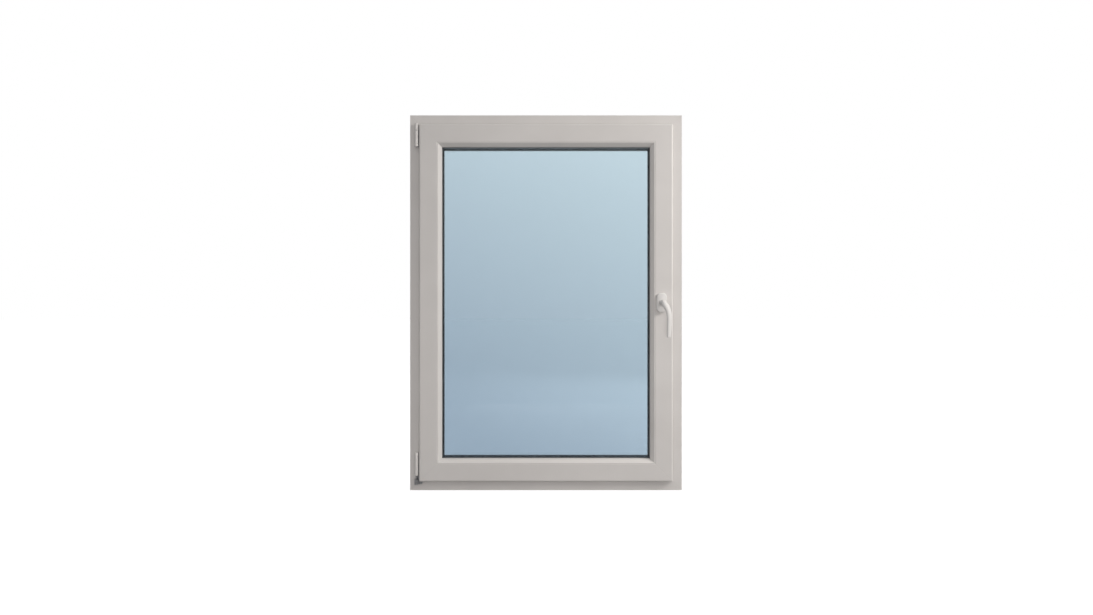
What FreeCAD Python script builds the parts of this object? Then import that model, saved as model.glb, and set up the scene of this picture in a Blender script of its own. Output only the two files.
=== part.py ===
import FreeCAD, Part
import Sketcher
import os
import re

# A white PVC tilt-and-turn window: a mitred frame of hollow bars, a sash with its double glazing,
# a corner pivot and a stay arm on the hinge side, and a lever handle that drives the locking rails.
#
# +X runs from the hinge side to the lock side, +Y towards outdoors and +Z up. The origin is the
# middle of the frame's underside. A bar's section is given as (in, y): "in" is measured from the
# frame's outer edge towards the middle of the window, on whichever side the bar stands.

SIZES = [
    # the whole window
    ("frame_width", 1000), ("frame_height", 1380), ("frame_depth", 70), ("mitre_reach", 150),
    # frame bar: rebate line, outdoor flange and the web behind the steel
    ("wall", 3), ("frame_rebate", 43), ("flange_edge", 63), ("flange_face", 20), ("frame_web", 3),
    # sash bar: edge of the lip, rebate line, line of the beads, edge of the glazing flange
    ("sash_edge", 35), ("sash_rebate", 55), ("bead_line", 100), ("sash_flange_edge", 118),
    ("sash_face", -50), ("lip_back", -39), ("sash_back", 17), ("glass_stop", 2),
    ("soft_edge", 6), ("fine_edge", 1.5),
    # hardware groove round the sash
    ("groove_centre", -26), ("plate_width", 16), ("plate_thickness", 2.5), ("groove_width", 12),
    ("groove_depth", 12),
    # steel inside the bars
    ("steel_gap", 2), ("steel_wall", 2), ("steel_end_gap", 70),
    # glazing
    ("glass_edge", 104), ("pane", 4), ("cavity", 16), ("glass_front", -25), ("spacer_edge", 110),
    ("spacer_inside", 116.5), ("gasket_foot", 112), ("gasket_edge", 119.5), ("bead_edge", 117),
    ("bead_front", -49.5), ("bead_back", -29), ("bead_flat", 4), ("bead_slope_end", -38),
    ("bead_wall", 2.5), ("block_length", 100), ("block_place", 300), ("block_inset", 2),
    # running gaps between frame and sash
    ("seal_gap", 0.3), ("seal_foot", 36.5), ("seal_top", 42.5), ("hinge_zone", 150),
    ("upper_zone_start", 1255), ("zone_inside", 60), ("seal_base", 0.6),
    ("outer_seal_foot", 56), ("outer_seal_top", 62),
    # corner hinges: both turn on one upright axis in front of the frame
    ("axis_in", 25), ("axis_y", -43), ("barrel", 5.5), ("sleeve", 6.7), ("sleeve_bore", 5.6),
    ("leaf", 2.4), ("leaf_web", 2.5), ("leaf_depth", 21), ("leaf_front", -38.2),
    ("leaf_back", -35.8), ("sash_leaf_depth", -8),
    ("pin_radius", 3.5), ("pin_clearance", 0.05), ("ball", 5), ("ball_clearance", 0.08),
    ("tilt_axis", 36), ("rest_bottom", 24), ("rest_top", 42), ("rest_radius", 7.5),
    ("rest_leaf_top", 56), ("rest_leg_top", 108), ("rebate_start", 45),
    ("sash_hinge_bottom", 59), ("sash_hinge_top", 139), ("cover_overlap", 2), ("pin_top", 131),
    ("leaf_screw_inset", 13), ("leaf_screw_y", -21.5), ("sash_leaf_screw_y", -13),
    ("bore_floor", 4), ("bore_end_gap", 0.5), ("slot_overrun", 1),
    ("stay_bearing_bottom", 1262), ("stay_bearing_top", 1321), ("stay_pin_radius", 3),
    ("stay_pin_top", 1341), ("eye_gap", 1), ("eye_top", 1338), ("eye_clearance", 0.3),
    ("cap_top", 1348), ("cap_roof", 3),
    # stay arm
    ("arm_bottom", 1329.6), ("arm_thickness", 3), ("arm_width", 14), ("arm_reach", 499.7),
    ("arm_heel", 5), ("arm_root_start", 19.5), ("arm_root_end", 39), ("arm_chamfer", 4),
    ("slide_pin_depth", 1.8), ("slot_half", 4.3), ("slot_start", 470), ("slot_end", 508),
    ("plate_bottom", 1324), ("plate_top", 1336),
    ("plate_end", 22),
    # driving rails and locking cams
    ("rail_front", 58.2), ("rail_thickness", 2.4), ("rail_width", 9), ("travel", 36),
    ("neck", 2.9), ("neck_gap", 0.3), ("cam_radius", 5.3), ("cam_tip", 49.7), ("cam_back", 54.5),
    ("lock_cam_low", 250), ("lock_cam_mid", 840), ("lock_cam_high", 1140), ("head_cam", 200),
    ("sill_cam", 250), ("lock_rail_low", 130), ("lock_rail_high", 1280), ("head_rail_start", 60),
    ("head_rail_end", 376), ("sill_rail_start", -300), ("sill_rail_end", 400),
    ("plate_low", 70), ("plate_high", 1310), ("plate_half", 430), ("plate_screw_inset", 14),
    ("casing_depth", 66), ("casing_gap", 0.2),
    # keepers on the frame
    ("keeper_before", 50), ("keeper_after", 24), ("keeper_lip", 48.4), ("keeper_rear_lip", 47.2),
    ("lip_width", 2.8), ("keeper_width", 18), ("keeper_screw_inset", 8),
    # screws
    ("screw_radius", 1.75), ("screw_hole", 1.8), ("screw_head", 3), ("head_height", 1.4),
    ("frame_screw_end", 33), ("sash_screw_end", 77), ("hinge_screw_end", 63),
    ("anchor_radius", 3.75), ("anchor_y", -14.5), ("anchor_spacing", 540),
    # gearbox: a pinion of twelve teeth on a rack of the same pitch
    ("handle_in", 78), ("handle_height", 690), ("tooth_pitch", 6), ("pitch_radius", 11.459),
    ("pinion_root", 9.7), ("pinion_tip", 12.9), ("tooth_foot_half", 1.5), ("tooth_pitch_half", 1.05),
    ("tooth_tip_half", 0.6), ("tooth_height", 1.4), ("tooth_depth", 1.7), ("tooth_root", 1),
    ("pinion_hub", 6.5), ("case_back", 93), ("case_wall", 1.4), ("case_half_depth", 7),
    ("case_half_height", 85), ("pocket_gap", 0.5), ("channel_depth", 64.5),
    # handle
    ("spindle_half", 3.5), ("square_clearance", 0.05), ("spindle_start", -78), ("spindle_end", -19),
    ("base_half_width", 14), ("base_half_height", 31), ("base_thickness", 6),
    ("rosette_half_width", 18), ("rosette_half_height", 35), ("rosette_thickness", 11),
    ("rosette_wall", 1.6), ("base_round", 10), ("rosette_round", 15), ("handle_screw_pitch", 21.5),
    ("handle_screw_radius", 2.5), ("handle_screw_head", 4.6), ("neck_radius", 10.2),
    ("neck_back", -57), ("neck_front", -70),
    ("rosette_bore", 10.6), ("spindle_hole", 8), ("knuckle_radius", 12), ("knuckle_reach", 12),
    ("knuckle_drop", 2), ("root_reach", 15), ("root_thicken", 1.3),
    ("grip_offset", 19), ("grip_reach", 27), ("grip_shoulder", 36), ("grip_length", 124),
    ("grip_half_width", 10.5), ("grip_half_depth", 6), ("tip_shrink", 0.86),
    # drainage
    ("drain_place", 300), ("drain_half_length", 16), ("drain_bottom", 8), ("drain_height", 12),
    ("drain_rim", 2),
    ("drain_cover", 2.5), ("drain_slot_half", 12), ("drain_slot_height", 5),
]

ALIASES = {alias for alias, _ in SIZES}
PLANES = {"x": "YZ_Plane", "y": "XZ_Plane", "z": "XY_Plane"}
SIDES = ("hinge", "lock", "sill", "head")
RACK_TEETH = 10
LOWEST_TOOTH = -1.5
PINION_TEETH = 12

doc = FreeCAD.newDocument("TiltAndTurnWindow")
parts = []


def fill_sheet():
    """Write every driving size into the spreadsheet, as plain numbers with word aliases."""
    sheet = doc.addObject("Spreadsheet::Sheet", "Sizes")
    for row, (alias, number) in enumerate(SIZES, start=1):
        sheet.set(f"A{row}", alias)
        sheet.set(f"B{row}", str(number))
        sheet.setAlias(f"B{row}", alias)
    doc.recompute()
    return sheet


def bound(text):
    """An expression in which every size's name points at the sheet."""
    return re.sub(r"[a-z]\w*", lambda word: f"Sizes.{word[0]}" if word[0] in ALIASES else word[0], text)


def size(text):
    """The present value of an expression, in millimetres."""
    return float(sheet.evalExpression(bound(text)))


# --- sketches and straight solids -------------------------------------------------------------

class Circle:
    """A round outline: its centre and radius, as expressions."""

    def __init__(self, across, along, radius):
        self.across = across
        self.along = along
        self.radius = radius


def pin_point(sketch, constraints, bindings, geometry, point, across, along):
    """Hold one point of the sketch at two expressions."""
    for kind, axis, text in (("DistanceX", -2, across), ("DistanceY", -1, along)):
        value = size(text)
        if abs(value) < 1e-9:
            constraints.append(Sketcher.Constraint("PointOnObject", geometry, point, axis))
        else:
            bindings.append((sketch.ConstraintCount + len(constraints), text))
            constraints.append(Sketcher.Constraint(kind, -1, 1, geometry, point, value))


def draw(sketch, outline):
    """Draw a circle, or a closed outline given by its corners, bound to the sheet."""
    first = sketch.GeometryCount
    constraints = []
    bindings = []
    if isinstance(outline, Circle):
        centre = FreeCAD.Vector(size(outline.across), size(outline.along), 0)
        radius = size(outline.radius)
        sketch.addGeometry(Part.Circle(centre, FreeCAD.Vector(0, 0, 1), radius))
        pin_point(sketch, constraints, bindings, first, 3, outline.across, outline.along)
        bindings.append((sketch.ConstraintCount + len(constraints), outline.radius))
        constraints.append(Sketcher.Constraint("Radius", first, radius))
    else:
        points = [FreeCAD.Vector(size(across), size(along), 0) for across, along in outline]
        count = len(points)
        lines = [Part.LineSegment(points[i], points[(i + 1) % count]) for i in range(count)]
        sketch.addGeometry(lines)
        for i, (across, along) in enumerate(outline):
            following = first + (i + 1) % count
            constraints.append(Sketcher.Constraint("Coincident", first + i, 2, following, 1))
            pin_point(sketch, constraints, bindings, first + i, 1, across, along)
    sketch.addConstraint(constraints)
    for index, text in bindings:
        sketch.setExpression(f"Constraints[{index}]", bound(text))


def box_outline(across_low, along_low, across_high, along_high):
    """The four corners of a rectangle."""
    return [(across_low, along_low), (across_high, along_low),
            (across_high, along_high), (across_low, along_high)]


def add_sketch(body, name, axis, level):
    """A sketch square to an axis, at a level along it."""
    sketch = body.newObject("Sketcher::SketchObject", name)
    plane = next(item for item in body.Origin.OriginFeatures if item.Role == PLANES[axis])
    sketch.AttachmentSupport = [(plane, "")]
    sketch.MapMode = "FlatFace"
    sign = "-1" if axis == "y" else "1"
    sketch.setExpression("AttachmentOffset.Base.z", bound(f"{sign} * ({level})"))
    return sketch


def new_body(label):
    """An empty body that will be written to a file of its own."""
    body = doc.addObject("PartDesign::Body", "".join(word.title() for word in label.split("_")))
    body.Label = label
    body.AllowCompound = True
    parts.append(body)
    return body


def prism(body, name, axis, start, end, outlines):
    """Add a straight solid between two levels of an axis."""
    sketch = add_sketch(body, name + "Outline", axis, end if axis == "y" else start)
    for outline in outlines:
        draw(sketch, outline)
    pad = body.newObject("PartDesign::Pad", name)
    pad.Profile = (sketch, [""])
    pad.AllowMultiFace = True
    pad.setExpression("Length", bound(f"({end}) - ({start})"))
    return pad


def cut(body, name, axis, start, end, outlines):
    """Cut a straight hollow between two levels of an axis, and make sure that it removes something."""
    doc.recompute()
    before = body.Shape.Volume
    sketch = add_sketch(body, name + "Outline", axis, start if axis == "y" else end)
    for outline in outlines:
        draw(sketch, outline)
    pocket = body.newObject("PartDesign::Pocket", name)
    pocket.Profile = (sketch, [""])
    pocket.AllowMultiFace = True
    pocket.setExpression("Length", bound(f"({end}) - ({start})"))
    doc.recompute()
    if not body.Shape.Volume < before:
        raise RuntimeError(f"{body.Label}: {name} cuts nothing")
    return pocket


def round_edges(body, name, axis, corners, radius):
    """Round the long edges that run along an axis through the given corners of the section."""
    doc.recompute()
    first, second = {"x": ("y", "z"), "y": ("x", "z"), "z": ("x", "y")}[axis]
    targets = [(size(across), size(along)) for across, along in corners]
    edges = []
    for number, edge in enumerate(body.Tip.Shape.Edges, start=1):
        direction = edge.Vertexes[-1].Point - edge.Vertexes[0].Point
        if direction.Length < 1 or abs(getattr(direction, axis)) < 0.999 * direction.Length:
            continue
        middle = edge.CenterOfMass
        for across, along in targets:
            if abs(getattr(middle, first) - across) < 0.01 and abs(getattr(middle, second) - along) < 0.01:
                edges.append(f"Edge{number}")
    base = body.Tip
    fillet = body.newObject("PartDesign::Fillet", name)
    fillet.Base = (base, edges)
    fillet.setExpression("Radius", bound(radius))
    return fillet


# --- bars along the four sides ----------------------------------------------------------------

def inward(side, distance):
    """The coordinate of a line at a distance in from the outer edge of one side."""
    return {"hinge": f"-frame_width / 2 + ({distance})", "lock": f"frame_width / 2 - ({distance})",
            "sill": f"({distance})", "head": f"frame_height - ({distance})"}[side]


def is_jamb(side):
    """Whether the side stands upright."""
    return side in ("hinge", "lock")


def section(side, corners):
    """Turn corners given as (in, y) into the sketch coordinates of a bar's section."""
    if is_jamb(side):
        return [(inward(side, distance), y) for distance, y in corners]
    return [(y, inward(side, distance)) for distance, y in corners]


def full_length(side):
    """The two ends of a bar that runs the whole length of its side."""
    if is_jamb(side):
        return "0", "frame_height"
    return "-frame_width / 2", "frame_width / 2"


def bar(body, name, side, corners, start=None, end=None, hollows=()):
    """Add a bar along one side, with straight hollows through it."""
    if start is None:
        start, end = full_length(side)
    outlines = [section(side, corners)]
    outlines += [section(side, box_outline(*hollow)) for hollow in hollows]
    return prism(body, name, "z" if is_jamb(side) else "x", start, end, outlines)


def studs(body, name, side, low, high, places, remove=False):
    """Add or cut round studs that point in from a side: each place is (along, y, radius)."""
    start, end = inward(side, low), inward(side, high)
    if side in ("lock", "head"):
        start, end = end, start
    if is_jamb(side):
        outlines = [Circle(y, along, radius) for along, y, radius in places]
    else:
        outlines = [Circle(along, y, radius) for along, y, radius in places]
    work = cut if remove else prism
    return work(body, name, "x" if is_jamb(side) else "z", start, end, outlines)


def mitre(body, side):
    """Cut both ends of a bar along the diagonals of the window's corners."""
    left, right, reach = "-frame_width / 2", "frame_width / 2", "mitre_reach"
    edge, tip = inward(side, "0"), inward(side, reach)
    if is_jamb(side):
        wedges = [[(edge, "0"), (tip, "0"), (tip, reach)],
                  [(edge, "frame_height"), (tip, "frame_height"), (tip, f"frame_height - {reach}")]]
    else:
        wedges = [[(left, edge), (left, tip), (f"{left} + {reach}", tip)],
                  [(right, edge), (right, tip), (f"{right} - {reach}", tip)]]
    sketch = add_sketch(body, "MitreOutline", "y", "0")
    for wedge in wedges:
        draw(sketch, wedge)
    pocket = body.newObject("PartDesign::Pocket", "Mitre")
    pocket.Profile = (sketch, [""])
    pocket.AllowMultiFace = True
    pocket.Type = "ThroughAll"
    pocket.SideType = "Symmetric"


def ring(label, outer, inner, y_front, y_back):
    """A flat ring that runs round the window between two distances from the frame's edge."""
    body = new_body(label)
    outlines = [window_outline(outer), window_outline(inner)]
    prism(body, "Ring", "y", y_front, y_back, outlines)
    return body


def window_outline(distance):
    """A rectangle that stands at one distance in from the frame's outer edge."""
    return box_outline(inward("hinge", distance), inward("sill", distance),
                       inward("lock", distance), inward("head", distance))


# --- where the screws stand -------------------------------------------------------------------

CAMS = {"lock": ["lock_cam_low", "lock_cam_mid", "lock_cam_high"],
           "head": ["head_cam"], "sill": ["-sill_cam", "sill_cam"]}


def keeper_span(side, cam):
    """The two ends of a keeper: a cam slides to one side of its resting place."""
    if side == "head":
        return f"{cam} - keeper_after", f"{cam} + keeper_before"
    return f"{cam} - keeper_before", f"{cam} + keeper_after"


def frame_screws(side):
    """The screws that go into one frame bar: (along, y)."""
    places = []
    for cam in CAMS.get(side, []):
        start, end = keeper_span(side, cam)
        places += [(f"{start} + keeper_screw_inset", "groove_centre"),
                   (f"{end} - keeper_screw_inset", "groove_centre")]
    if side == "hinge":
        for low, high in (("stay_bearing_bottom", "stay_bearing_top"), ("rest_leaf_top", "rest_leg_top")):
            places += [(f"{low} + leaf_screw_inset", "leaf_screw_y"),
                       (f"{high} - leaf_screw_inset", "leaf_screw_y")]
    return places


PLATES = {"lock": ("plate_low", "plate_high"), "head": ("-plate_half", "plate_half"),
          "sill": ("-plate_half", "plate_half")}
SASH_HINGE_SCREWS = ["sash_hinge_bottom + leaf_screw_inset", "sash_hinge_top - leaf_screw_inset"]
ANCHORS = ["frame_height / 2 - anchor_spacing", "frame_height / 2", "frame_height / 2 + anchor_spacing"]


def with_radius(places, radius):
    """Add one radius to a list of (along, y) places."""
    return [(along, y, radius) for along, y in places]


def plate_screws(side):
    """The screws of one faceplate: (along, y)."""
    start, end = PLATES[side]
    return [(f"{start} + plate_screw_inset", "groove_centre"),
            (f"{end} - plate_screw_inset", "groove_centre")]


# --- frame ------------------------------------------------------------------------------------

FRAME_SECTION = [("0", "-frame_depth / 2"), ("frame_rebate", "-frame_depth / 2"),
                 ("frame_rebate", "flange_face"), ("flange_edge", "flange_face"),
                 ("flange_edge", "frame_depth / 2"), ("0", "frame_depth / 2")]
FRAME_HOLLOWS = [
    ("wall", "-frame_depth / 2 + wall", "frame_rebate - wall", "frame_web"),
    ("wall", "frame_web + wall", "frame_rebate - wall", "flange_face - wall"),
    ("wall", "flange_face", "frame_rebate - wall", "frame_depth / 2 - wall"),
    ("frame_rebate", "flange_face + wall", "flange_edge - wall", "frame_depth / 2 - wall"),
]


def make_frame_bar(label, side):
    """One hollow bar of the frame, mitred at both ends, with its screw and anchor holes."""
    body = new_body(label)
    bar(body, "Section", side, FRAME_SECTION, hollows=FRAME_HOLLOWS)
    edge = section(side, [("frame_rebate", "-frame_depth / 2")])
    round_edges(body, "RoomEdge", "z" if is_jamb(side) else "x", edge, "fine_edge")
    mitre(body, side)
    screws = with_radius(frame_screws(side), "screw_hole")
    studs(body, "ScrewHoles", side, "frame_screw_end", "frame_rebate", screws, remove=True)
    if is_jamb(side):
        anchors = [(height, "anchor_y", "anchor_radius") for height in ANCHORS]
        studs(body, "AnchorHoles", side, "0", "frame_rebate", anchors, remove=True)
    if side == "sill":
        low = "drain_bottom + drain_rim"
        slots = [box_outline(f"{place} - drain_slot_half", low,
                             f"{place} + drain_slot_half", f"{low} + drain_slot_height")
                 for place in ("-drain_place", "drain_place")]
        cut(body, "DrainSlots", "y", "frame_depth / 2 - wall", "frame_depth / 2", slots)


def steel_tubes(body, low, front, high, back):
    """Four square steel tubes, one inside each bar."""
    for side in SIDES:
        start, end = full_length(side)
        start, end = f"{start} + steel_end_gap", f"{end} - steel_end_gap"
        hollow = (f"{low} + steel_wall", f"{front} + steel_wall", f"{high} - steel_wall",
                  f"{back} - steel_wall")
        bar(body, f"Tube{side.title()}", side, box_outline(low, front, high, back), start, end, [hollow])


def make_frame_reinforcement():
    """The steel in the frame, drilled for anchors and screws."""
    body = new_body("frame_reinforcement")
    steel_tubes(body, "wall + steel_gap", "-frame_depth / 2 + wall + steel_gap",
                "frame_rebate - wall - steel_gap", "frame_web - steel_gap")
    for side in SIDES:
        holes = with_radius(frame_screws(side), "screw_hole")
        if is_jamb(side):
            holes += [(height, "anchor_y", "anchor_radius") for height in ANCHORS]
        studs(body, f"Holes{side.title()}", side, "0", "frame_rebate", holes, remove=True)


def make_keepers(label, side):
    """The keepers of one side: channels that the locking cams slide along."""
    body = new_body(label)
    front, back = "-frame_depth / 2", "-frame_depth / 2 + keeper_width"
    floor = "frame_rebate + leaf"
    channel = [("frame_rebate", front), ("keeper_lip", front), ("keeper_lip", f"{front} + lip_width"),
               (floor, f"{front} + lip_width"), (floor, f"{back} - lip_width"),
               ("keeper_rear_lip", f"{back} - lip_width"), ("keeper_rear_lip", back),
               ("frame_rebate", back)]
    for number, cam in enumerate(CAMS[side], start=1):
        start, end = keeper_span(side, cam)
        bar(body, f"Keeper{number}", side, channel, start, end)
    holes = with_radius(frame_screws(side), "screw_hole")
    studs(body, "ScrewHoles", side, "frame_rebate", floor, holes, remove=True)


def make_screws(label, groups):
    """A set of screws: each group is (side, seat of the head, end of the shank, places)."""
    body = new_body(label)
    for side, seat, end, places in groups:
        name = side.title()
        studs(body, f"Shanks{name}", side, end[0], end[1], with_radius(places, "screw_radius"))
        studs(body, f"Heads{name}", side, seat[0], seat[1], with_radius(places, "screw_head"))


def make_frame_screws():
    """The screws of the keepers and of the two hinge leaves on the frame."""
    seat = ("frame_rebate + leaf", "frame_rebate + leaf + head_height")
    shank = ("frame_screw_end", "frame_rebate + leaf")
    make_screws("keeper_screws", [(side, seat, shank, frame_screws(side))
                                  for side in ("lock", "head", "sill")])
    bearing, rest = frame_screws("hinge")[:2], frame_screws("hinge")[2:]
    make_screws("stay_bearing_screws", [("hinge", seat, shank, bearing)])
    make_screws("pivot_rest_screws", [("hinge", seat, shank, rest)])


def make_drain_covers():
    """The hooded covers over the drain slots, on the outdoor face."""
    body = new_body("drain_covers")
    outlines = [box_outline(f"{place} - drain_half_length", "drain_bottom",
                            f"{place} + drain_half_length", "drain_bottom + drain_height")
                for place in ("-drain_place", "drain_place")]
    prism(body, "Covers", "y", "frame_depth / 2", "frame_depth / 2 + drain_cover", outlines)


# --- corner hinges ----------------------------------------------------------------------------

AXIS_X = inward("hinge", "axis_in")
LEG_X = inward("hinge", "frame_rebate + leaf")
FRAME_FACE_X = inward("hinge", "frame_rebate")
SASH_FACE_X = inward("hinge", "sash_rebate")


def frame_leaf():
    """A leaf that lies on the frame's face and turns into its rebate."""
    face = "-frame_depth / 2"
    return [(f"{AXIS_X} - leaf_web", "axis_y"), (f"{AXIS_X} + leaf_web", "axis_y"),
            (f"{AXIS_X} + leaf_web", f"{face} - leaf"), (LEG_X, f"{face} - leaf"),
            (LEG_X, f"{face} + leaf_depth"), (FRAME_FACE_X, f"{face} + leaf_depth"),
            (FRAME_FACE_X, face), (f"{AXIS_X} - leaf_web", face)]


def axis_circle(radius):
    """A circle round the turning axis."""
    return Circle(AXIS_X, "axis_y", radius)


def make_sleeve(label, bottom, top):
    """A white plastic sleeve that clips round a hinge barrel, open behind for the leaf."""
    body = new_body(label)
    prism(body, "Sleeve", "z", bottom, top, [axis_circle("sleeve"), axis_circle("sleeve_bore")])
    slot = box_outline(f"{AXIS_X} - leaf_web - seal_gap", "leaf_front - 2 * seal_gap",
                       f"{AXIS_X} + sleeve + slot_overrun", "axis_y + sleeve + slot_overrun")
    cut(body, "LeafSlot", "z", bottom, top, [slot])
    return body


def make_stay_bearing():
    """The upper bearing, screwed to the hinge jamb, with its leaf wrapped round the rebate."""
    body = new_body("stay_bearing")
    bottom, top = "stay_bearing_bottom", "stay_bearing_top"
    prism(body, "Leaf", "z", bottom, top, [frame_leaf()])
    prism(body, "Barrel", "z", bottom, top, [axis_circle("barrel")])
    cut(body, "Bore", "z", f"{bottom} + bore_floor", top, [axis_circle("stay_pin_radius + pin_clearance")])
    studs(body, "ScrewHoles", "hinge", "frame_rebate", "frame_rebate + leaf",
          with_radius(frame_screws("hinge")[:2], "screw_hole"), remove=True)
    make_sleeve("stay_bearing_cover", bottom, f"{top} - seal_gap")


def make_pivot_rest():
    """The lower bearing: a cup for the ball of the pivot pin, on a leaf round the rebate."""
    body = new_body("pivot_rest")
    prism(body, "Leaf", "z", "rest_bottom", "rest_leaf_top", [frame_leaf()])
    face = "-frame_depth / 2"
    prism(body, "Leg", "z", "rest_leaf_top", "rest_leg_top",
          [box_outline(FRAME_FACE_X, f"{face} + seal_gap", LEG_X, f"{face} + leaf_depth")])
    cut(body, "AboveCup", "z", "rest_top", "rest_leaf_top",
        [box_outline(f"{AXIS_X} - leaf_web", "axis_y", f"{AXIS_X} + leaf_web", f"{face} - leaf")])
    cut(body, "BelowRebate", "z", "rest_bottom", "rebate_start",
        [box_outline(FRAME_FACE_X, face, LEG_X, f"{face} + leaf_depth")])
    prism(body, "Cup", "z", "rest_bottom", "rest_top", [axis_circle("rest_radius")])
    cut(body, "Mouth", "z", "tilt_axis", "rest_top", [axis_circle("ball + ball_clearance")])
    studs(body, "ScrewHoles", "hinge", "frame_rebate", "frame_rebate + leaf",
          with_radius(frame_screws("hinge")[2:], "screw_hole"), remove=True)
    sketch = add_sketch(body, "SocketOutline", "y", "axis_y")
    socket_profile(sketch)
    groove = body.newObject("PartDesign::Groove", "Socket")
    groove.Profile = (sketch, [""])
    groove.ReferenceAxis = (sketch, ["V_Axis"])
    groove.Angle = 360
    body_shift(sketch)


def body_shift(sketch):
    """Stand a sketch's own upright axis on the turning axis."""
    sketch.setExpression("AttachmentOffset.Base.x", bound(AXIS_X))


def socket_profile(sketch):
    """A quarter circle below the level of the tilt axis, for the ball's socket."""
    radius = size("ball + ball_clearance")
    level = size("tilt_axis")
    centre = FreeCAD.Vector(0, level, 0)
    arc = Part.ArcOfCircle(Part.Circle(centre, FreeCAD.Vector(0, 0, 1), radius), -1.5707963, 0)
    bottom = FreeCAD.Vector(0, level - radius, 0)
    right = FreeCAD.Vector(radius, level, 0)
    sketch.addGeometry([arc, Part.LineSegment(right, centre), Part.LineSegment(centre, bottom)])
    sketch.addConstraint([
        Sketcher.Constraint("Coincident", 0, 2, 1, 1), Sketcher.Constraint("Coincident", 1, 2, 2, 1),
        Sketcher.Constraint("Coincident", 2, 2, 0, 1), Sketcher.Constraint("Coincident", 0, 3, 1, 2),
        Sketcher.Constraint("PointOnObject", 0, 3, -2), Sketcher.Constraint("PointOnObject", 0, 1, -2),
        Sketcher.Constraint("Horizontal", 1), Sketcher.Constraint("Radius", 0, radius),
        Sketcher.Constraint("DistanceY", -1, 1, 0, 3, level)])
    sketch.setExpression("Constraints[7]", bound("ball + ball_clearance"))
    sketch.setExpression("Constraints[8]", bound("tilt_axis"))


def round_solid(kind, name, radius, level, height=None):
    """A ball or an upright pin on the turning axis."""
    item = doc.addObject(kind, name)
    item.setExpression("Radius", bound(radius))
    if height is not None:
        item.setExpression("Height", bound(height))
    item.setExpression("Placement.Base.x", bound(AXIS_X))
    item.setExpression("Placement.Base.y", bound("axis_y"))
    item.setExpression("Placement.Base.z", bound(level))
    return item


def make_pins():
    """The ball-ended pivot pin at the bottom and the plain pin of the stay at the top."""
    ball = round_solid("Part::Sphere", "PivotBall", "ball", "tilt_axis")
    shank = round_solid("Part::Cylinder", "PivotShank", "pin_radius", "tilt_axis", "pin_top - tilt_axis")
    pivot = doc.addObject("Part::Fuse", "PivotPin")
    pivot.Base = ball
    pivot.Tool = shank
    pivot.Label = "pivot_pin"
    parts.append(pivot)
    start = "stay_bearing_bottom + bore_floor + bore_end_gap"
    stay = round_solid("Part::Cylinder", "StayHingePin", "stay_pin_radius", start,
                       f"stay_pin_top - ({start})")
    stay.Label = "stay_hinge_pin"
    parts.append(stay)


def make_sash_hinge():
    """The lower hinge of the sash: a barrel over the pivot pin, its leaf screwed to the rebate."""
    body = new_body("sash_hinge")
    bottom, top = "sash_hinge_bottom", "sash_hinge_top"
    leg = inward("hinge", "sash_rebate - leaf")
    leaf = [(f"{AXIS_X} - leaf_web", "axis_y"), (f"{AXIS_X} + leaf_web", "axis_y"),
            (f"{AXIS_X} + leaf_web", "leaf_front"), (SASH_FACE_X, "leaf_front"),
            (SASH_FACE_X, "sash_leaf_depth"), (leg, "sash_leaf_depth"), (leg, "leaf_back"),
            (f"{AXIS_X} - leaf_web", "leaf_back")]
    prism(body, "Leaf", "z", bottom, top, [leaf])
    prism(body, "Barrel", "z", bottom, top, [axis_circle("barrel")])
    cut(body, "Bore", "z", bottom, "pin_top + cover_overlap", [axis_circle("pin_radius + pin_clearance")])
    studs(body, "ScrewHoles", "hinge", "sash_rebate - leaf", "sash_rebate", sash_hinge_places("screw_hole"),
          remove=True)
    cover = make_sleeve("sash_hinge_cover", f"{bottom} - cover_overlap", f"{top} + cover_overlap")
    prism(cover, "Roof", "z", top, f"{top} + cover_overlap", [axis_circle("sleeve")])
    screws = [(along, y) for along, y, _ in sash_hinge_places("screw_radius")]
    make_screws("sash_hinge_screws", [("hinge", ("sash_rebate - leaf - head_height", "sash_rebate - leaf"),
                                       ("sash_rebate - leaf", "hinge_screw_end"), screws)])


def sash_hinge_places(radius):
    """The screws of the lower hinge's leaf on the sash: (along, y, radius)."""
    return [(along, "sash_leaf_screw_y", radius) for along in SASH_HINGE_SCREWS]


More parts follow.
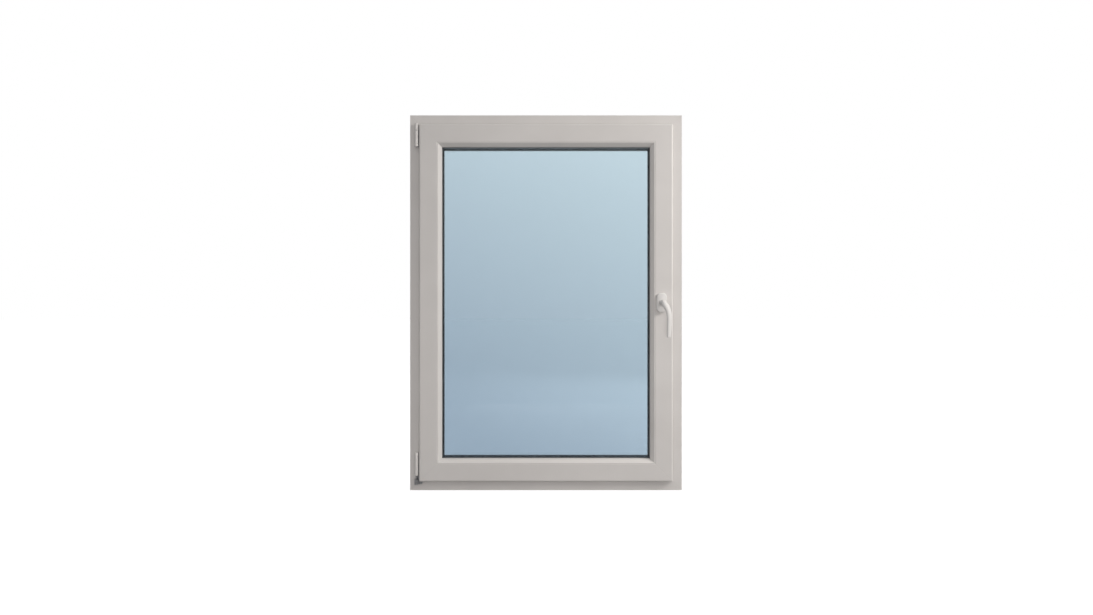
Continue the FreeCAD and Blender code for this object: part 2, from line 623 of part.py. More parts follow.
def make_stay_arm():
    """The arm that lets the top of the sash lean inwards: an eye, a cranked root and a flat arm."""
    body = new_body("stay_arm")
    reach = f"{AXIS_X} + arm_reach"
    half = "arm_width / 2"
    root = [(f"{AXIS_X} - leaf_web", "axis_y"), (f"{AXIS_X} + leaf_web", "axis_y"),
            (f"{AXIS_X} + leaf_web", "leaf_front"), (f"{AXIS_X} + plate_end", "leaf_front"),
            (f"{AXIS_X} + plate_end", "leaf_back"), (f"{AXIS_X} - leaf_web", "leaf_back")]
    arm = [(f"{AXIS_X} + arm_heel", "leaf_front"), (f"{AXIS_X} + plate_end", "leaf_front"),
           (f"{AXIS_X} + arm_root_end", f"groove_centre - {half}"), (reach, f"groove_centre - {half}"),
           (reach, f"groove_centre + {half}"),
           (f"{AXIS_X} + arm_root_start + arm_chamfer", f"groove_centre + {half}"),
           (f"{AXIS_X} + arm_root_start", "groove_centre"), (f"{AXIS_X} + arm_root_start", "leaf_back"),
           (f"{AXIS_X} + arm_heel", "leaf_back")]
    prism(body, "Root", "z", "plate_bottom", "plate_top", [root])
    prism(body, "Arm", "z", "arm_bottom", "arm_bottom + arm_thickness", [arm])
    prism(body, "ArmEnd", "z", "arm_bottom", "arm_bottom + arm_thickness",
          [Circle(reach, "groove_centre", half)])
    prism(body, "Eye", "z", "stay_bearing_top + eye_gap", "eye_top", [axis_circle("barrel")])
    cut(body, "EyeBore", "z", "stay_bearing_top + eye_gap", "eye_top",
        [axis_circle("stay_pin_radius + eye_clearance")])
    cap = make_sleeve("stay_arm_cap", "stay_bearing_top + eye_gap", "cap_top")
    prism(cap, "Roof", "z", "cap_top - cap_roof", "cap_top", [axis_circle("sleeve")])
    slide = new_body("stay_slide_pin")
    prism(slide, "Pin", "z", "frame_height - sash_rebate - slide_pin_depth", "arm_bottom",
          [Circle(reach, "groove_centre", "stay_pin_radius")])


# --- sash -------------------------------------------------------------------------------------

GROOVE_FRONT = "groove_centre - groove_width / 2"
GROOVE_BACK = "groove_centre + groove_width / 2"
PLATE_FRONT = "groove_centre - plate_width / 2"
PLATE_BACK = "groove_centre + plate_width / 2"
PLATE_SEAT = "sash_rebate + plate_thickness"
GROOVE_FLOOR = "sash_rebate + groove_depth"
SASH_SECTION = [("sash_edge", "sash_face"), ("bead_line", "sash_face"), ("bead_line", "glass_stop"),
                ("sash_flange_edge", "glass_stop"), ("sash_flange_edge", "sash_back"),
                ("sash_rebate", "sash_back"), ("sash_rebate", PLATE_BACK), (PLATE_SEAT, PLATE_BACK),
                (PLATE_SEAT, GROOVE_BACK), (GROOVE_FLOOR, GROOVE_BACK), (GROOVE_FLOOR, GROOVE_FRONT),
                (PLATE_SEAT, GROOVE_FRONT), (PLATE_SEAT, PLATE_FRONT), ("sash_rebate", PLATE_FRONT),
                ("sash_rebate", "lip_back"), ("sash_edge", "lip_back")]
STEEL_START = "sash_rebate + groove_depth + wall"
SASH_HOLLOWS = [
    ("sash_edge + wall", "sash_face + wall", "bead_line - wall", "lip_back - wall"),
    (STEEL_START, "lip_back", "bead_line - wall", "glass_stop"),
    (STEEL_START, "glass_stop + wall", "bead_line - wall", "sash_back - wall"),
    ("sash_rebate + wall", f"{PLATE_BACK} + wall", GROOVE_FLOOR, "sash_back - wall"),
    ("bead_line", "glass_stop + wall", "sash_flange_edge - wall", "sash_back - wall"),
]
HANDLE_X = inward("lock", "handle_in")
CASE_FRONT = "groove_centre - case_half_depth"
CASE_BACK = "groove_centre + case_half_depth"


def lock_box(near, far, half_height):
    """A rectangle in the window's plane, on the lock side, level with the handle."""
    return box_outline(inward("lock", far), f"handle_height - ({half_height})", inward("lock", near),
                       f"handle_height + {half_height}")


def handle_circle(radius, offset="0"):
    """A circle on the handle's axis, or above or below it."""
    return Circle(HANDLE_X, f"handle_height + {offset}", radius)


def handle_screw_circles(radius):
    """The two handle screws, above and below the spindle."""
    return [handle_circle(radius, "handle_screw_pitch"), handle_circle(radius, "(-handle_screw_pitch)")]


def make_sash_bar(label, side):
    """One hollow bar of the sash with its soft outer edge, hardware groove and screw holes."""
    body = new_body(label)
    bar(body, "Section", side, SASH_SECTION, hollows=SASH_HOLLOWS)
    axis = "z" if is_jamb(side) else "x"
    round_edges(body, "SoftEdge", axis, section(side, [("sash_edge", "sash_face")]), "soft_edge")
    round_edges(body, "BeadSideEdge", axis, section(side, [("bead_line", "sash_face")]), "fine_edge")
    mitre(body, side)
    if side == "hinge":
        studs(body, "HingeScrewHoles", side, "sash_rebate", "hinge_screw_end",
              sash_hinge_places("screw_hole"), remove=True)
    else:
        holes = with_radius(plate_screws(side), "screw_hole")
        studs(body, "PlateScrewHoles", side, "sash_rebate", "sash_screw_end", holes, remove=True)
    if side == "lock":
        pocket = [lock_box("sash_rebate", "case_back + pocket_gap", "case_half_height + pocket_gap")]
        cut(body, "GearboxPocket", "y", f"{CASE_FRONT} - pocket_gap", f"{CASE_BACK} + pocket_gap", pocket)
        cut(body, "SpindleHole", "y", "sash_face", "groove_centre",
            [handle_circle("spindle_hole"), *handle_screw_circles("handle_screw_radius + square_clearance")])


def make_sash_reinforcement():
    """The steel in the sash, cut away round the gearbox and drilled for the faceplate screws."""
    body = new_body("sash_reinforcement")
    steel_tubes(body, f"{STEEL_START} + steel_gap", "lip_back + steel_gap",
                "bead_line - wall - steel_gap", "glass_stop - steel_gap")
    notch = lock_box("sash_rebate", "case_back + steel_gap", "case_half_height + steel_gap")
    cut(body, "GearboxNotch", "y", "lip_back", f"{CASE_BACK} + steel_gap", [notch])
    for side in ("lock", "head", "sill"):
        holes = with_radius(plate_screws(side), "screw_hole")
        studs(body, f"Holes{side.title()}", side, "sash_rebate", "sash_screw_end + steel_gap", holes,
              remove=True)


def make_sash_gasket():
    """The seal behind the sash's lip, thinned where the hinge leaves pass."""
    body = ring("sash_gasket", "seal_foot", "seal_top", "lip_back", "-frame_depth / 2 - seal_gap")
    left, inside = "-frame_width / 2", "-frame_width / 2 + zone_inside"
    zones = [box_outline(left, "0", inside, "hinge_zone"),
             box_outline(left, "upper_zone_start", inside, "frame_height")]
    cut(body, "HingeZones", "y", "lip_back + seal_base", "-frame_depth / 2", zones)


def make_bead(label, side):
    """One glazing bead: a hollow strip with a sloping face, mitred at both ends."""
    body = new_body(label)
    corners = [("bead_line", "bead_front"), ("bead_line + bead_flat", "bead_front"),
               ("bead_edge", "bead_slope_end"), ("bead_edge", "bead_back"), ("bead_line", "bead_back")]
    hollow = ("bead_line + bead_wall", "bead_slope_end", "bead_edge - bead_wall", "bead_back - bead_wall")
    bar(body, "Section", side, corners, hollows=[hollow])
    axis = "z" if is_jamb(side) else "x"
    round_edges(body, "BeadEdge", axis, section(side, corners[1:3]), "fine_edge")
    mitre(body, side)


def make_glazing():
    """The sealed double glazing, its blocks and its two gaskets."""
    front_back = "glass_front + pane"
    rear_front = "glass_front + pane + cavity"
    rear_back = "glass_front + 2 * pane + cavity"
    panes = (("pane_inner", "glass_front", front_back), ("pane_outer", rear_front, rear_back))
    for label, front, back in panes:
        prism(new_body(label), "Pane", "y", front, back, [window_outline("glass_edge")])
    ring("spacer_bar", "spacer_edge", "spacer_inside", front_back, rear_front)
    ring("edge_sealant", "glass_edge", "spacer_edge", front_back, rear_front)
    ring("bead_gasket", "gasket_foot", "gasket_edge", "bead_back", "glass_front")
    ring("outer_glazing_gasket", "gasket_foot", "gasket_edge", rear_back, "glass_stop")
    blocks = new_body("glazing_blocks")
    for side in SIDES:
        middle = "frame_height / 2" if is_jamb(side) else "0"
        for number, sign in enumerate(("-", "+"), start=1):
            place = f"{middle} {sign} block_place"
            corners = box_outline("bead_line", "bead_back + block_inset",
                                  "glass_edge", "glass_stop - block_inset")
            bar(blocks, f"Block{side.title()}{number}", side, corners,
                f"{place} - block_length / 2", f"{place} + block_length / 2")


# --- locking hardware -------------------------------------------------------------------------

RAILS = {"lock": ("lock_rail_low", "lock_rail_high"), "head": ("head_rail_start", "head_rail_end"),
         "sill": ("sill_rail_start", "sill_rail_end")}


def along_box(side, start, end, front, back):
    """A rectangle on the face of one side, between two places along it."""
    if is_jamb(side):
        return box_outline(front, start, back, end)
    return box_outline(start, front, end, back)


def slot_span(side, cam):
    """The slot that a cam's neck slides in."""
    reach = "(neck + neck_gap)"
    if side == "head":
        return f"{cam} - {reach}", f"{cam} + travel + {reach}"
    return f"{cam} - travel - {reach}", f"{cam} + {reach}"


def make_faceplate(side):
    """A faceplate in the sash's groove, with a slot for each cam."""
    body = new_body(f"faceplate_{side}")
    start, end = PLATES[side]
    bar(body, "Plate", side, box_outline("sash_rebate", PLATE_FRONT, PLATE_SEAT, PLATE_BACK), start, end)
    width = ("groove_centre - neck - neck_gap", "groove_centre + neck + neck_gap")
    slots = [along_box(side, *slot_span(side, cam), *width) for cam in CAMS[side]]
    if side == "head":
        slide = ("groove_centre - slot_half", "groove_centre + slot_half")
        slots.append(along_box(side, f"{AXIS_X} + slot_start", f"{AXIS_X} + slot_end", *slide))
    axis = "x" if is_jamb(side) else "z"
    near, far = inward(side, "sash_rebate"), inward(side, PLATE_SEAT)
    if side in ("lock", "head"):
        near, far = far, near
    cut(body, "CamSlots", axis, near, far, slots)
    holes = with_radius(plate_screws(side), "screw_hole")
    studs(body, "ScrewHoles", side, "sash_rebate", PLATE_SEAT, holes, remove=True)


def rack_corners():
    """The toothed edge of the lock rail, from its top end down: (in, height) corners."""
    pitch_line = "handle_in - pitch_radius"
    root, tip = f"{pitch_line} - tooth_depth", f"{pitch_line} + tooth_height"
    corners = []
    for tooth in reversed(range(RACK_TEETH)):
        middle = f"handle_height + tooth_pitch * {tooth + LOWEST_TOOTH}"
        corners += [(root, f"{middle} + tooth_foot_half"), (tip, f"{middle} + tooth_tip_half"),
                    (tip, f"{middle} - tooth_tip_half"), (root, f"{middle} - tooth_foot_half")]
    return corners


def make_rail(side):
    """A driving rail behind a faceplate, and the locking cams on it."""
    body = new_body(f"{side}_rail")
    start, end = RAILS[side]
    front, back = "groove_centre - rail_width / 2", "groove_centre + rail_width / 2"
    rear = "rail_front + rail_thickness"
    if side == "lock":
        teeth = rack_corners()
        outline = [("rail_front", start), ("rail_front", end), (rear, end), (rear, teeth[0][1]), *teeth,
                   (rear, teeth[-1][1]), (rear, start)]
        prism(body, "Rail", "y", front, back, [[(inward("lock", distance), z) for distance, z in outline]])
    else:
        bar(body, "Rail", side, box_outline("rail_front", front, rear, back), start, end)
    cams = new_body(f"{side}_cams")
    places = [(cam, "groove_centre") for cam in CAMS[side]]
    studs(cams, "Necks", side, "cam_back", "rail_front", with_radius(places, "neck"))
    studs(cams, "Rollers", side, "cam_tip", "cam_back", with_radius(places, "cam_radius"))


def make_corner_casings():
    """The casings round the two corners of the lock side, where the rails are linked."""
    body = new_body("corner_casings")
    edge, seat, floor = "sash_rebate", PLATE_SEAT, "casing_depth"
    reach = {"head": "frame_height - plate_high", "sill": "plate_low"}
    for side in ("head", "sill"):
        run = "frame_width / 2 - plate_half"
        layers = (("Plate", edge, seat, PLATE_FRONT, PLATE_BACK),
                  ("Casing", seat, floor, f"{GROOVE_FRONT} + casing_gap", f"{GROOVE_BACK} - casing_gap"))
        for name, near, far, front, back in layers:
            corner = [(near, near), (run, near), (run, far), (far, far), (far, reach[side]),
                      (near, reach[side])]
            outline = [(inward("lock", across), inward(side, along)) for across, along in corner]
            prism(body, name + side.title(), "y", front, back, [outline])


def make_gearbox():
    """The gearbox case: two side plates, a back and two ends, open towards the faceplate."""
    body = new_body("gearbox_case")
    prism(body, "Block", "y", CASE_FRONT, CASE_BACK, [lock_box(PLATE_SEAT, "case_back", "case_half_height")])
    inside_front, inside_back = f"{CASE_FRONT} + case_wall", f"{CASE_BACK} - case_wall"
    cut(body, "Inside", "y", inside_front, inside_back,
        [lock_box(PLATE_SEAT, "case_back - case_wall", "case_half_height - case_wall")])
    cut(body, "RailChannel", "y", inside_front, inside_back,
        [lock_box(PLATE_SEAT, "channel_depth", "case_half_height")])
    cut(body, "HubAndScrewHoles", "y", CASE_FRONT, CASE_BACK,
        [handle_circle("pinion_hub + ball_clearance"),
         *handle_screw_circles("handle_screw_radius + square_clearance")])


def make_pinion():
    """The pinion on the spindle: a hub, a disc and twelve teeth."""
    body = new_body("gearbox_pinion")
    body.setExpression("Placement.Base.x", bound(HANDLE_X))
    body.setExpression("Placement.Base.z", bound("handle_height"))
    front, back = "groove_centre - rail_width / 2", "groove_centre + rail_width / 2"
    prism(body, "Hub", "y", CASE_FRONT, CASE_BACK, [Circle("0", "0", "pinion_hub")])
    prism(body, "Disc", "y", front, back, [Circle("0", "0", "pinion_root")])
    tooth = [("pinion_root - tooth_root", "-tooth_foot_half"), ("pitch_radius", "-tooth_pitch_half"),
             ("pinion_tip", "-tooth_tip_half"), ("pinion_tip", "tooth_tip_half"),
             ("pitch_radius", "tooth_pitch_half"), ("pinion_root - tooth_root", "tooth_foot_half")]
    first = prism(body, "Tooth", "y", front, back, [tooth])
    doc.recompute()
    pattern = body.newObject("PartDesign::PolarPattern", "Teeth")
    pattern.Originals = [first]
    axis = next(item for item in body.Origin.OriginFeatures if item.Role == "Y_Axis")
    pattern.Axis = (axis, [""])
    pattern.Angle = 360
    pattern.Occurrences = PINION_TEETH
    body.Tip = pattern
    high = "spindle_half + square_clearance"
    low = f"-({high})"
    cut(body, "Square", "y", CASE_FRONT, CASE_BACK, [box_outline(low, low, high, high)])


# --- handle -----------------------------------------------------------------------------------

def handle_box(half_width, half_height):
    """A rectangle centred on the handle's axis."""
    return box_outline(f"{HANDLE_X} - {half_width}", f"handle_height - {half_height}",
                       f"{HANDLE_X} + {half_width}", f"handle_height + {half_height}")


def make_rosette():
    """The base plate behind the handle, its two screws and the cover that hides them."""
    base = new_body("rosette_base")
    front = "sash_face - base_thickness"
    prism(base, "Plate", "y", front, "sash_face", [handle_box("base_half_width", "base_half_height")])
    cut(base, "Holes", "y", front, "sash_face",
        [handle_circle("spindle_hole"), *handle_screw_circles("handle_screw_radius + square_clearance")])
    round_edges(base, "Corners", "y", handle_box("base_half_width", "base_half_height"), "base_round")
    cover = new_body("rosette_cover")
    face = "sash_face - rosette_thickness"
    outside = handle_box("rosette_half_width", "rosette_half_height")
    inside = handle_box("rosette_half_width - rosette_wall", "rosette_half_height - rosette_wall")
    prism(cover, "Shell", "y", face, "sash_face", [outside])
    cut(cover, "Inside", "y", f"{face} + rosette_wall", "sash_face", [inside])
    round_edges(cover, "InsideCorners", "y", inside, "rosette_round - rosette_wall")
    round_edges(cover, "Corners", "y", outside, "rosette_round")
    cut(cover, "NeckHole", "y", face, f"{face} + rosette_wall", [handle_circle("rosette_bore")])
    screws = new_body("handle_screws")
    prism(screws, "Shanks", "y", front, CASE_BACK, handle_screw_circles("handle_screw_radius"))
    prism(screws, "Heads", "y", f"{front} - head_height", front, handle_screw_circles("handle_screw_head"))


def lever_section(name, x, y, z, half_width, half_depth):
    """One level oval section of the lever's grip."""
    oval = doc.addObject("Part::Ellipse", name)
    oval.setExpression("MajorRadius", bound(half_width))
    oval.setExpression("MinorRadius", bound(half_depth))
    oval.setExpression("Placement.Base.x", bound(x))
    oval.setExpression("Placement.Base.y", bound(y))
    oval.setExpression("Placement.Base.z", bound(z))
    return oval


def make_lever():
    """The lever: a round neck, a knuckle and a flat oval grip that hangs beside the neck's axis."""
    neck = doc.addObject("Part::Cylinder", "LeverNeck")
    neck.setExpression("Radius", bound("neck_radius"))
    neck.setExpression("Height", bound("neck_back - neck_front"))
    start = FreeCAD.Vector(size(HANDLE_X), size("neck_back"), size("handle_height"))
    neck.Placement = FreeCAD.Placement(start, FreeCAD.Rotation(FreeCAD.Vector(1, 0, 0), 90))
    knuckle = doc.addObject("Part::Sphere", "LeverKnuckle")
    knuckle.setExpression("Radius", bound("knuckle_radius"))
    knuckle.setExpression("Placement.Base.x", bound(f"{HANDLE_X} + grip_offset / 3"))
    knuckle.setExpression("Placement.Base.y", bound("neck_front - knuckle_reach"))
    knuckle.setExpression("Placement.Base.z", bound("handle_height - knuckle_drop"))
    stations = [("grip_offset / 3", "root_reach", "0", "1", "root_thicken"),
                ("grip_offset", "grip_reach", "grip_shoulder", "1", "1"),
                ("grip_offset", "grip_reach", "grip_length", "tip_shrink", "tip_shrink")]
    ovals = []
    for number, (across, forward, drop, width, depth) in enumerate(stations, start=1):
        place = (f"{HANDLE_X} + {across}", f"neck_front - {forward}", f"handle_height - {drop}")
        halves = (f"grip_half_width * {width}", f"grip_half_depth * {depth}")
        ovals.append(lever_section(f"GripOval{number}", *place, *halves))
    pieces = [neck, knuckle]
    for number in range(len(ovals) - 1):
        loft = doc.addObject("Part::Loft", f"LeverLoft{number + 1}")
        loft.Sections = ovals[number:number + 2]
        loft.Solid = True
        loft.Ruled = True
        pieces.append(loft)
    whole = doc.addObject("Part::MultiFuse", "LeverWhole")
    whole.Shapes = pieces
    lever = doc.addObject("Part::Cut", "HandleLever")
    lever.Base = whole
    lever.Tool = square_bar("LeverSquare", "spindle_half + square_clearance",
                            "spindle_start - bore_end_gap", "neck_back")
    lever.Label = "handle_lever"
    parts.append(lever)
    spindle = square_bar("Spindle", "spindle_half", "spindle_start", "spindle_end")
    spindle.Label = "spindle"
    parts.append(spindle)


def square_bar(name, half, start, end):
    """A square bar on the handle's axis."""
    item = doc.addObject("Part::Box", name)
    item.setExpression("Length", bound(f"2 * ({half})"))
    item.setExpression("Width", bound(f"({end}) - ({start})"))
    item.setExpression("Height", bound(f"2 * ({half})"))
    item.setExpression("Placement.Base.x", bound(f"{HANDLE_X} - ({half})"))
    item.setExpression("Placement.Base.y", bound(start))
    item.setExpression("Placement.Base.z", bound(f"handle_height - ({half})"))
    return item


# --- the whole window -------------------------------------------------------------------------

def make_frame():
    """The fixed frame with everything that stays on it."""
    for label, side in (("frame_jamb_hinge", "hinge"), ("frame_jamb_lock", "lock"),
                        ("frame_sill", "sill"), ("frame_head", "head")):
        make_frame_bar(label, side)
    make_frame_reinforcement()
    ring("frame_gasket", "outer_seal_foot", "outer_seal_top", "sash_back + seal_gap", "flange_face")
    for side in ("lock", "head", "sill"):
        make_keepers(f"{side}_keepers", side)
    make_frame_screws()
    make_drain_covers()
    make_stay_bearing()
    make_pivot_rest()


def make_sash():
    """The sash with its glazing, hinge and fixed hardware."""
    for label, side in (("sash_stile_hinge", "hinge"), ("sash_stile_lock", "lock"),
                        ("sash_sill", "sill"), ("sash_head", "head")):
        make_sash_bar(label, side)
    for side in SIDES:
        make_bead(f"bead_{side}", side)
    make_sash_reinforcement()
    make_sash_gasket()
    make_glazing()
    make_sash_hinge()
    for side in ("lock", "head", "sill"):
        make_faceplate(side)
        make_rail(side)
    make_corner_casings()
    seat = ("sash_rebate - head_height", "sash_rebate")
    make_screws("faceplate_screws", [(side, seat, ("sash_rebate", "sash_screw_end"), plate_screws(side))
                                     for side in ("lock", "head", "sill")])
    make_gearbox()
    make_rosette()


def check():
    """Stop if any object has failed or any part has no sound solid."""
    doc.recompute()
    for item in doc.Objects:
        if any(state in ("Invalid", "Error") for state in item.State):
            raise RuntimeError(f"{item.Name} is {item.State}")
    for part in parts:
        shape = part.Shape
        if shape.isNull() or not shape.isValid() or not shape.Solids:
            raise RuntimeError(f"{part.Label} has no sound shape")


def write():
    """Write each part to a file of its own."""
    os.makedirs("parts", exist_ok=True)
    for part in parts:
        part.Shape.exportStep(f"parts/{part.Label}.step")


sheet = fill_sheet()
make_frame()
make_pins()
make_stay_arm()
make_sash()
make_pinion()
make_lever()
check()
write()
print(len(parts), "parts")
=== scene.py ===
import logging
import math
from dataclasses import dataclass
from enum import Enum
from typing import Callable

import bmesh
import bpy
from mathutils import Matrix, Vector


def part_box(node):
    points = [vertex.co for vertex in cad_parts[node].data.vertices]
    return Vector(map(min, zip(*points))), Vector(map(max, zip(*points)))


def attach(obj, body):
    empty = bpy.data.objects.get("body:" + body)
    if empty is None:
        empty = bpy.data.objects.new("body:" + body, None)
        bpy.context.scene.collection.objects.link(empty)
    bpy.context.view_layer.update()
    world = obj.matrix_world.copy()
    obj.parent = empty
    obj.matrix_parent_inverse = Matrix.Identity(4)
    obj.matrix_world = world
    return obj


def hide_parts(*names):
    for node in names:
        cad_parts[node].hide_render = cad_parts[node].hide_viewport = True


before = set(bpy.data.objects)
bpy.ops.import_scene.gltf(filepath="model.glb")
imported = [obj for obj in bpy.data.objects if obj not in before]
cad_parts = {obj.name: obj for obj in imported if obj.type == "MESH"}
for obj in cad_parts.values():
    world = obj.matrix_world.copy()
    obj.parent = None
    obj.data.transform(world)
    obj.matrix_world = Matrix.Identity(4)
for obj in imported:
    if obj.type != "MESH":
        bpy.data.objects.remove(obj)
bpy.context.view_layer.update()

# The looks of a white tilt-and-turn window. The bars, the glazing and the hardware keep their CAD shapes
# and get their finishes here. The handle, the hinge covers, the screws and the drain hoods are modelled
# again in full detail, at the places of the CAD parts that they stand for.

logging.basicConfig(level=logging.INFO, format="%(message)s")
LOG = logging.getLogger("window")

MM = 0.001
Colour = tuple[float, float, float]
Point = tuple[float, float, float]
Span = tuple[float, float]
Box = tuple[Vector, Vector]
FRAME_LOW, FRAME_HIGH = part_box("frame_head")
WIDTH = FRAME_HIGH.x - FRAME_LOW.x
HEIGHT = FRAME_HIGH.z


class Run(Enum):
    """The way that a bar was drawn through its die."""

    UPRIGHT = "upright"
    LEVEL = "level"

    def stretch(self, share: float) -> Point:
        """The factor of a pattern along each axis, with only a share of it along the bar."""
        return (1, 1, share) if self is Run.UPRIGHT else (share, 1, 1)


class Sheen(Enum):
    """How much grain a moulded surface has."""

    SMOOTH = 0.4
    GRAINED = 1.0


# --- finishes ---------------------------------------------------------------------------------


class Desk:
    """A material's node tree, with short calls to add and join nodes."""

    def __init__(self, name: str) -> None:
        """Start a material with an empty tree, a principled shader and an output.

        Args:
            name: the material's name.
        """
        self.material = bpy.data.materials.new(name)
        self.material.use_nodes = True
        self.tree = self.material.node_tree
        self.tree.nodes.clear()
        self.shader = self.tree.nodes.new("ShaderNodeBsdfPrincipled")
        output = self.tree.nodes.new("ShaderNodeOutputMaterial")
        self.tree.links.new(self.shader.outputs[0], output.inputs["Surface"])
        self.place = self.tree.nodes.new("ShaderNodeTexCoord").outputs["Object"]

    def join(self, source: bpy.types.NodeSocket, target: bpy.types.NodeSocket) -> None:
        """Link one socket to another.

        Args:
            source: the output socket.
            target: the input socket.
        """
        self.tree.links.new(source, target)

    def drive(self, name: str, source: bpy.types.NodeSocket) -> None:
        """Link a value that changes over the surface to one of the shader's sockets."""
        self.join(source, self.shader.inputs[name])

    def fix(self, **values: float | Colour) -> None:
        """Fix values that are the same all over, on the shader's own sockets.

        Args:
            values: socket names in lower case with underscores, and their values.
        """
        for name, value in values.items():
            socket = self.shader.inputs[name.replace("_", " ").title().replace("Ior", "IOR")]
            socket.default_value = (*value, 1.0) if isinstance(value, tuple) else value

    def stretched(self, scale: Point) -> bpy.types.NodeSocket:
        """The place on the object, stretched along its axes.

        Args:
            scale: the factor along each axis.

        Returns:
            The socket that gives the stretched place.
        """
        mapping = self.tree.nodes.new("ShaderNodeMapping")
        mapping.inputs["Scale"].default_value = scale
        self.join(self.place, mapping.inputs["Vector"])
        return mapping.outputs["Vector"]

    def noise(self, scale: float, detail: float = 2.0, stretch: Point = (1, 1, 1)) -> bpy.types.NodeSocket:
        """Grain over the object.

        Args:
            scale: grains per metre.
            detail: how many finer layers the grain has.
            stretch: the factor along each axis.

        Returns:
            The socket that gives the grain, from 0 to 1.
        """
        node = self.tree.nodes.new("ShaderNodeTexNoise")
        node.inputs["Scale"].default_value = scale
        node.inputs["Detail"].default_value = detail
        self.join(self.stretched(stretch), node.inputs["Vector"])
        return node.outputs["Fac"]

    def spread(self, source: bpy.types.NodeSocket, low: float, high: float,
               start: float = 0.3, end: float = 0.7) -> bpy.types.NodeSocket:
        """Spread a value over a new range.

        Args:
            source: the value.
            low: the result at the start of the range.
            high: the result at its end.
            start: the value that gives low.
            end: the value that gives high.

        Returns:
            The socket that gives the new value.
        """
        node = self.tree.nodes.new("ShaderNodeMapRange")
        node.inputs["From Min"].default_value = start
        node.inputs["From Max"].default_value = end
        node.inputs["To Min"].default_value = low
        node.inputs["To Max"].default_value = high
        self.join(source, node.inputs["Value"])
        return node.outputs["Result"]

    def blend(self, share: bpy.types.NodeSocket, first: Colour, second: Colour) -> bpy.types.NodeSocket:
        """Mix two colours.

        Args:
            share: how much of the second colour shows.
            first: the colour at 0.
            second: the colour at 1.

        Returns:
            The socket that gives the mixed colour.
        """
        node = self.tree.nodes.new("ShaderNodeMix")
        node.data_type = "RGBA"
        node.inputs["A"].default_value = (*first, 1.0)
        node.inputs["B"].default_value = (*second, 1.0)
        self.join(share, node.inputs["Factor"])
        return node.outputs["Result"]

    def work_out(self, operation: str, first: bpy.types.NodeSocket | float,
                 second: bpy.types.NodeSocket | float = 0.0) -> bpy.types.NodeSocket:
        """Work out a number.

        Args:
            operation: what to do with the numbers, such as ADD or MINIMUM.
            first: the first number.
            second: the second number.

        Returns:
            The socket that gives the result.
        """
        node = self.tree.nodes.new("ShaderNodeMath")
        node.operation = operation
        for socket, value in zip(node.inputs, (first, second)):
            if isinstance(value, (int, float)):
                socket.default_value = value
            else:
                self.join(value, socket)
        return node.outputs[0]

    def axes(self) -> tuple[bpy.types.NodeSocket, ...]:
        """The place on the object as three separate sockets.

        Returns:
            The sockets of X, Y and Z.
        """
        node = self.tree.nodes.new("ShaderNodeSeparateXYZ")
        self.join(self.place, node.inputs[0])
        return tuple(node.outputs)

    def relief(self, height: bpy.types.NodeSocket, depth: float) -> None:
        """Raise the surface by a height map, on top of any relief that is already there.

        Args:
            height: the height, from 0 to 1.
            depth: how far 1 stands above 0, in metres.
        """
        bump = self.tree.nodes.new("ShaderNodeBump")
        bump.inputs["Distance"].default_value = depth
        self.join(height, bump.inputs["Height"])
        if self.shader.inputs["Normal"].is_linked:
            self.join(self.shader.inputs["Normal"].links[0].from_socket, bump.inputs["Normal"])
        self.join(bump.outputs["Normal"], self.shader.inputs["Normal"])


@dataclass(frozen=True)
class WhiteProfile:
    """Extruded white PVC: satin, with faint drawing lines and a fine groove where the mitres are welded."""

    run: Run
    pale: Colour = (0.765, 0.735, 0.715)
    shade: Colour = (0.725, 0.695, 0.675)
    clouds: float = 6
    roughness: Span = (0.30, 0.38)
    gloss: float = 0.45
    weld_start: float = 0.35 * MM
    weld_end: float = 1.05 * MM
    weld_depth: float = 0.25 * MM
    streaks: float = 420
    streak_stretch: float = 0.02
    streak_depth: float = 0.012 * MM
    grain: float = 1500
    grain_depth: float = 0.006 * MM

    def make(self) -> bpy.types.Material:
        """Build the material.

        Returns:
            The material.
        """
        desk = Desk(f"white_profile_{self.run.value}")
        streaks = desk.noise(self.streaks, stretch=self.run.stretch(self.streak_stretch))
        weld = self.weld(desk)
        tone = desk.work_out("MULTIPLY", desk.spread(desk.noise(self.clouds), 0, 1), weld)
        desk.drive("Base Color", desk.blend(tone, self.shade, self.pale))
        desk.drive("Roughness", desk.spread(streaks, *self.roughness))
        desk.relief(weld, self.weld_depth)
        desk.relief(streaks, self.streak_depth)
        desk.relief(desk.noise(self.grain), self.grain_depth)
        desk.fix(specular_ior_level=self.gloss)
        return desk.material

    def weld(self, desk: Desk) -> bpy.types.NodeSocket:
        """Find the mitres, which run at 45 degrees from every corner of the window.

        Args:
            desk: the material's node tree.

        Returns:
            The socket that gives 0 in the weld groove and 1 away from it.
        """
        across, _, up = desk.axes()
        from_side = desk.work_out("SUBTRACT", WIDTH / 2, desk.work_out("ABSOLUTE", across))
        from_end = desk.work_out("MINIMUM", up, desk.work_out("SUBTRACT", HEIGHT, up))
        gap = desk.work_out("ABSOLUTE", desk.work_out("SUBTRACT", from_side, from_end))
        return desk.spread(gap, 0, 1, self.weld_start, self.weld_end)


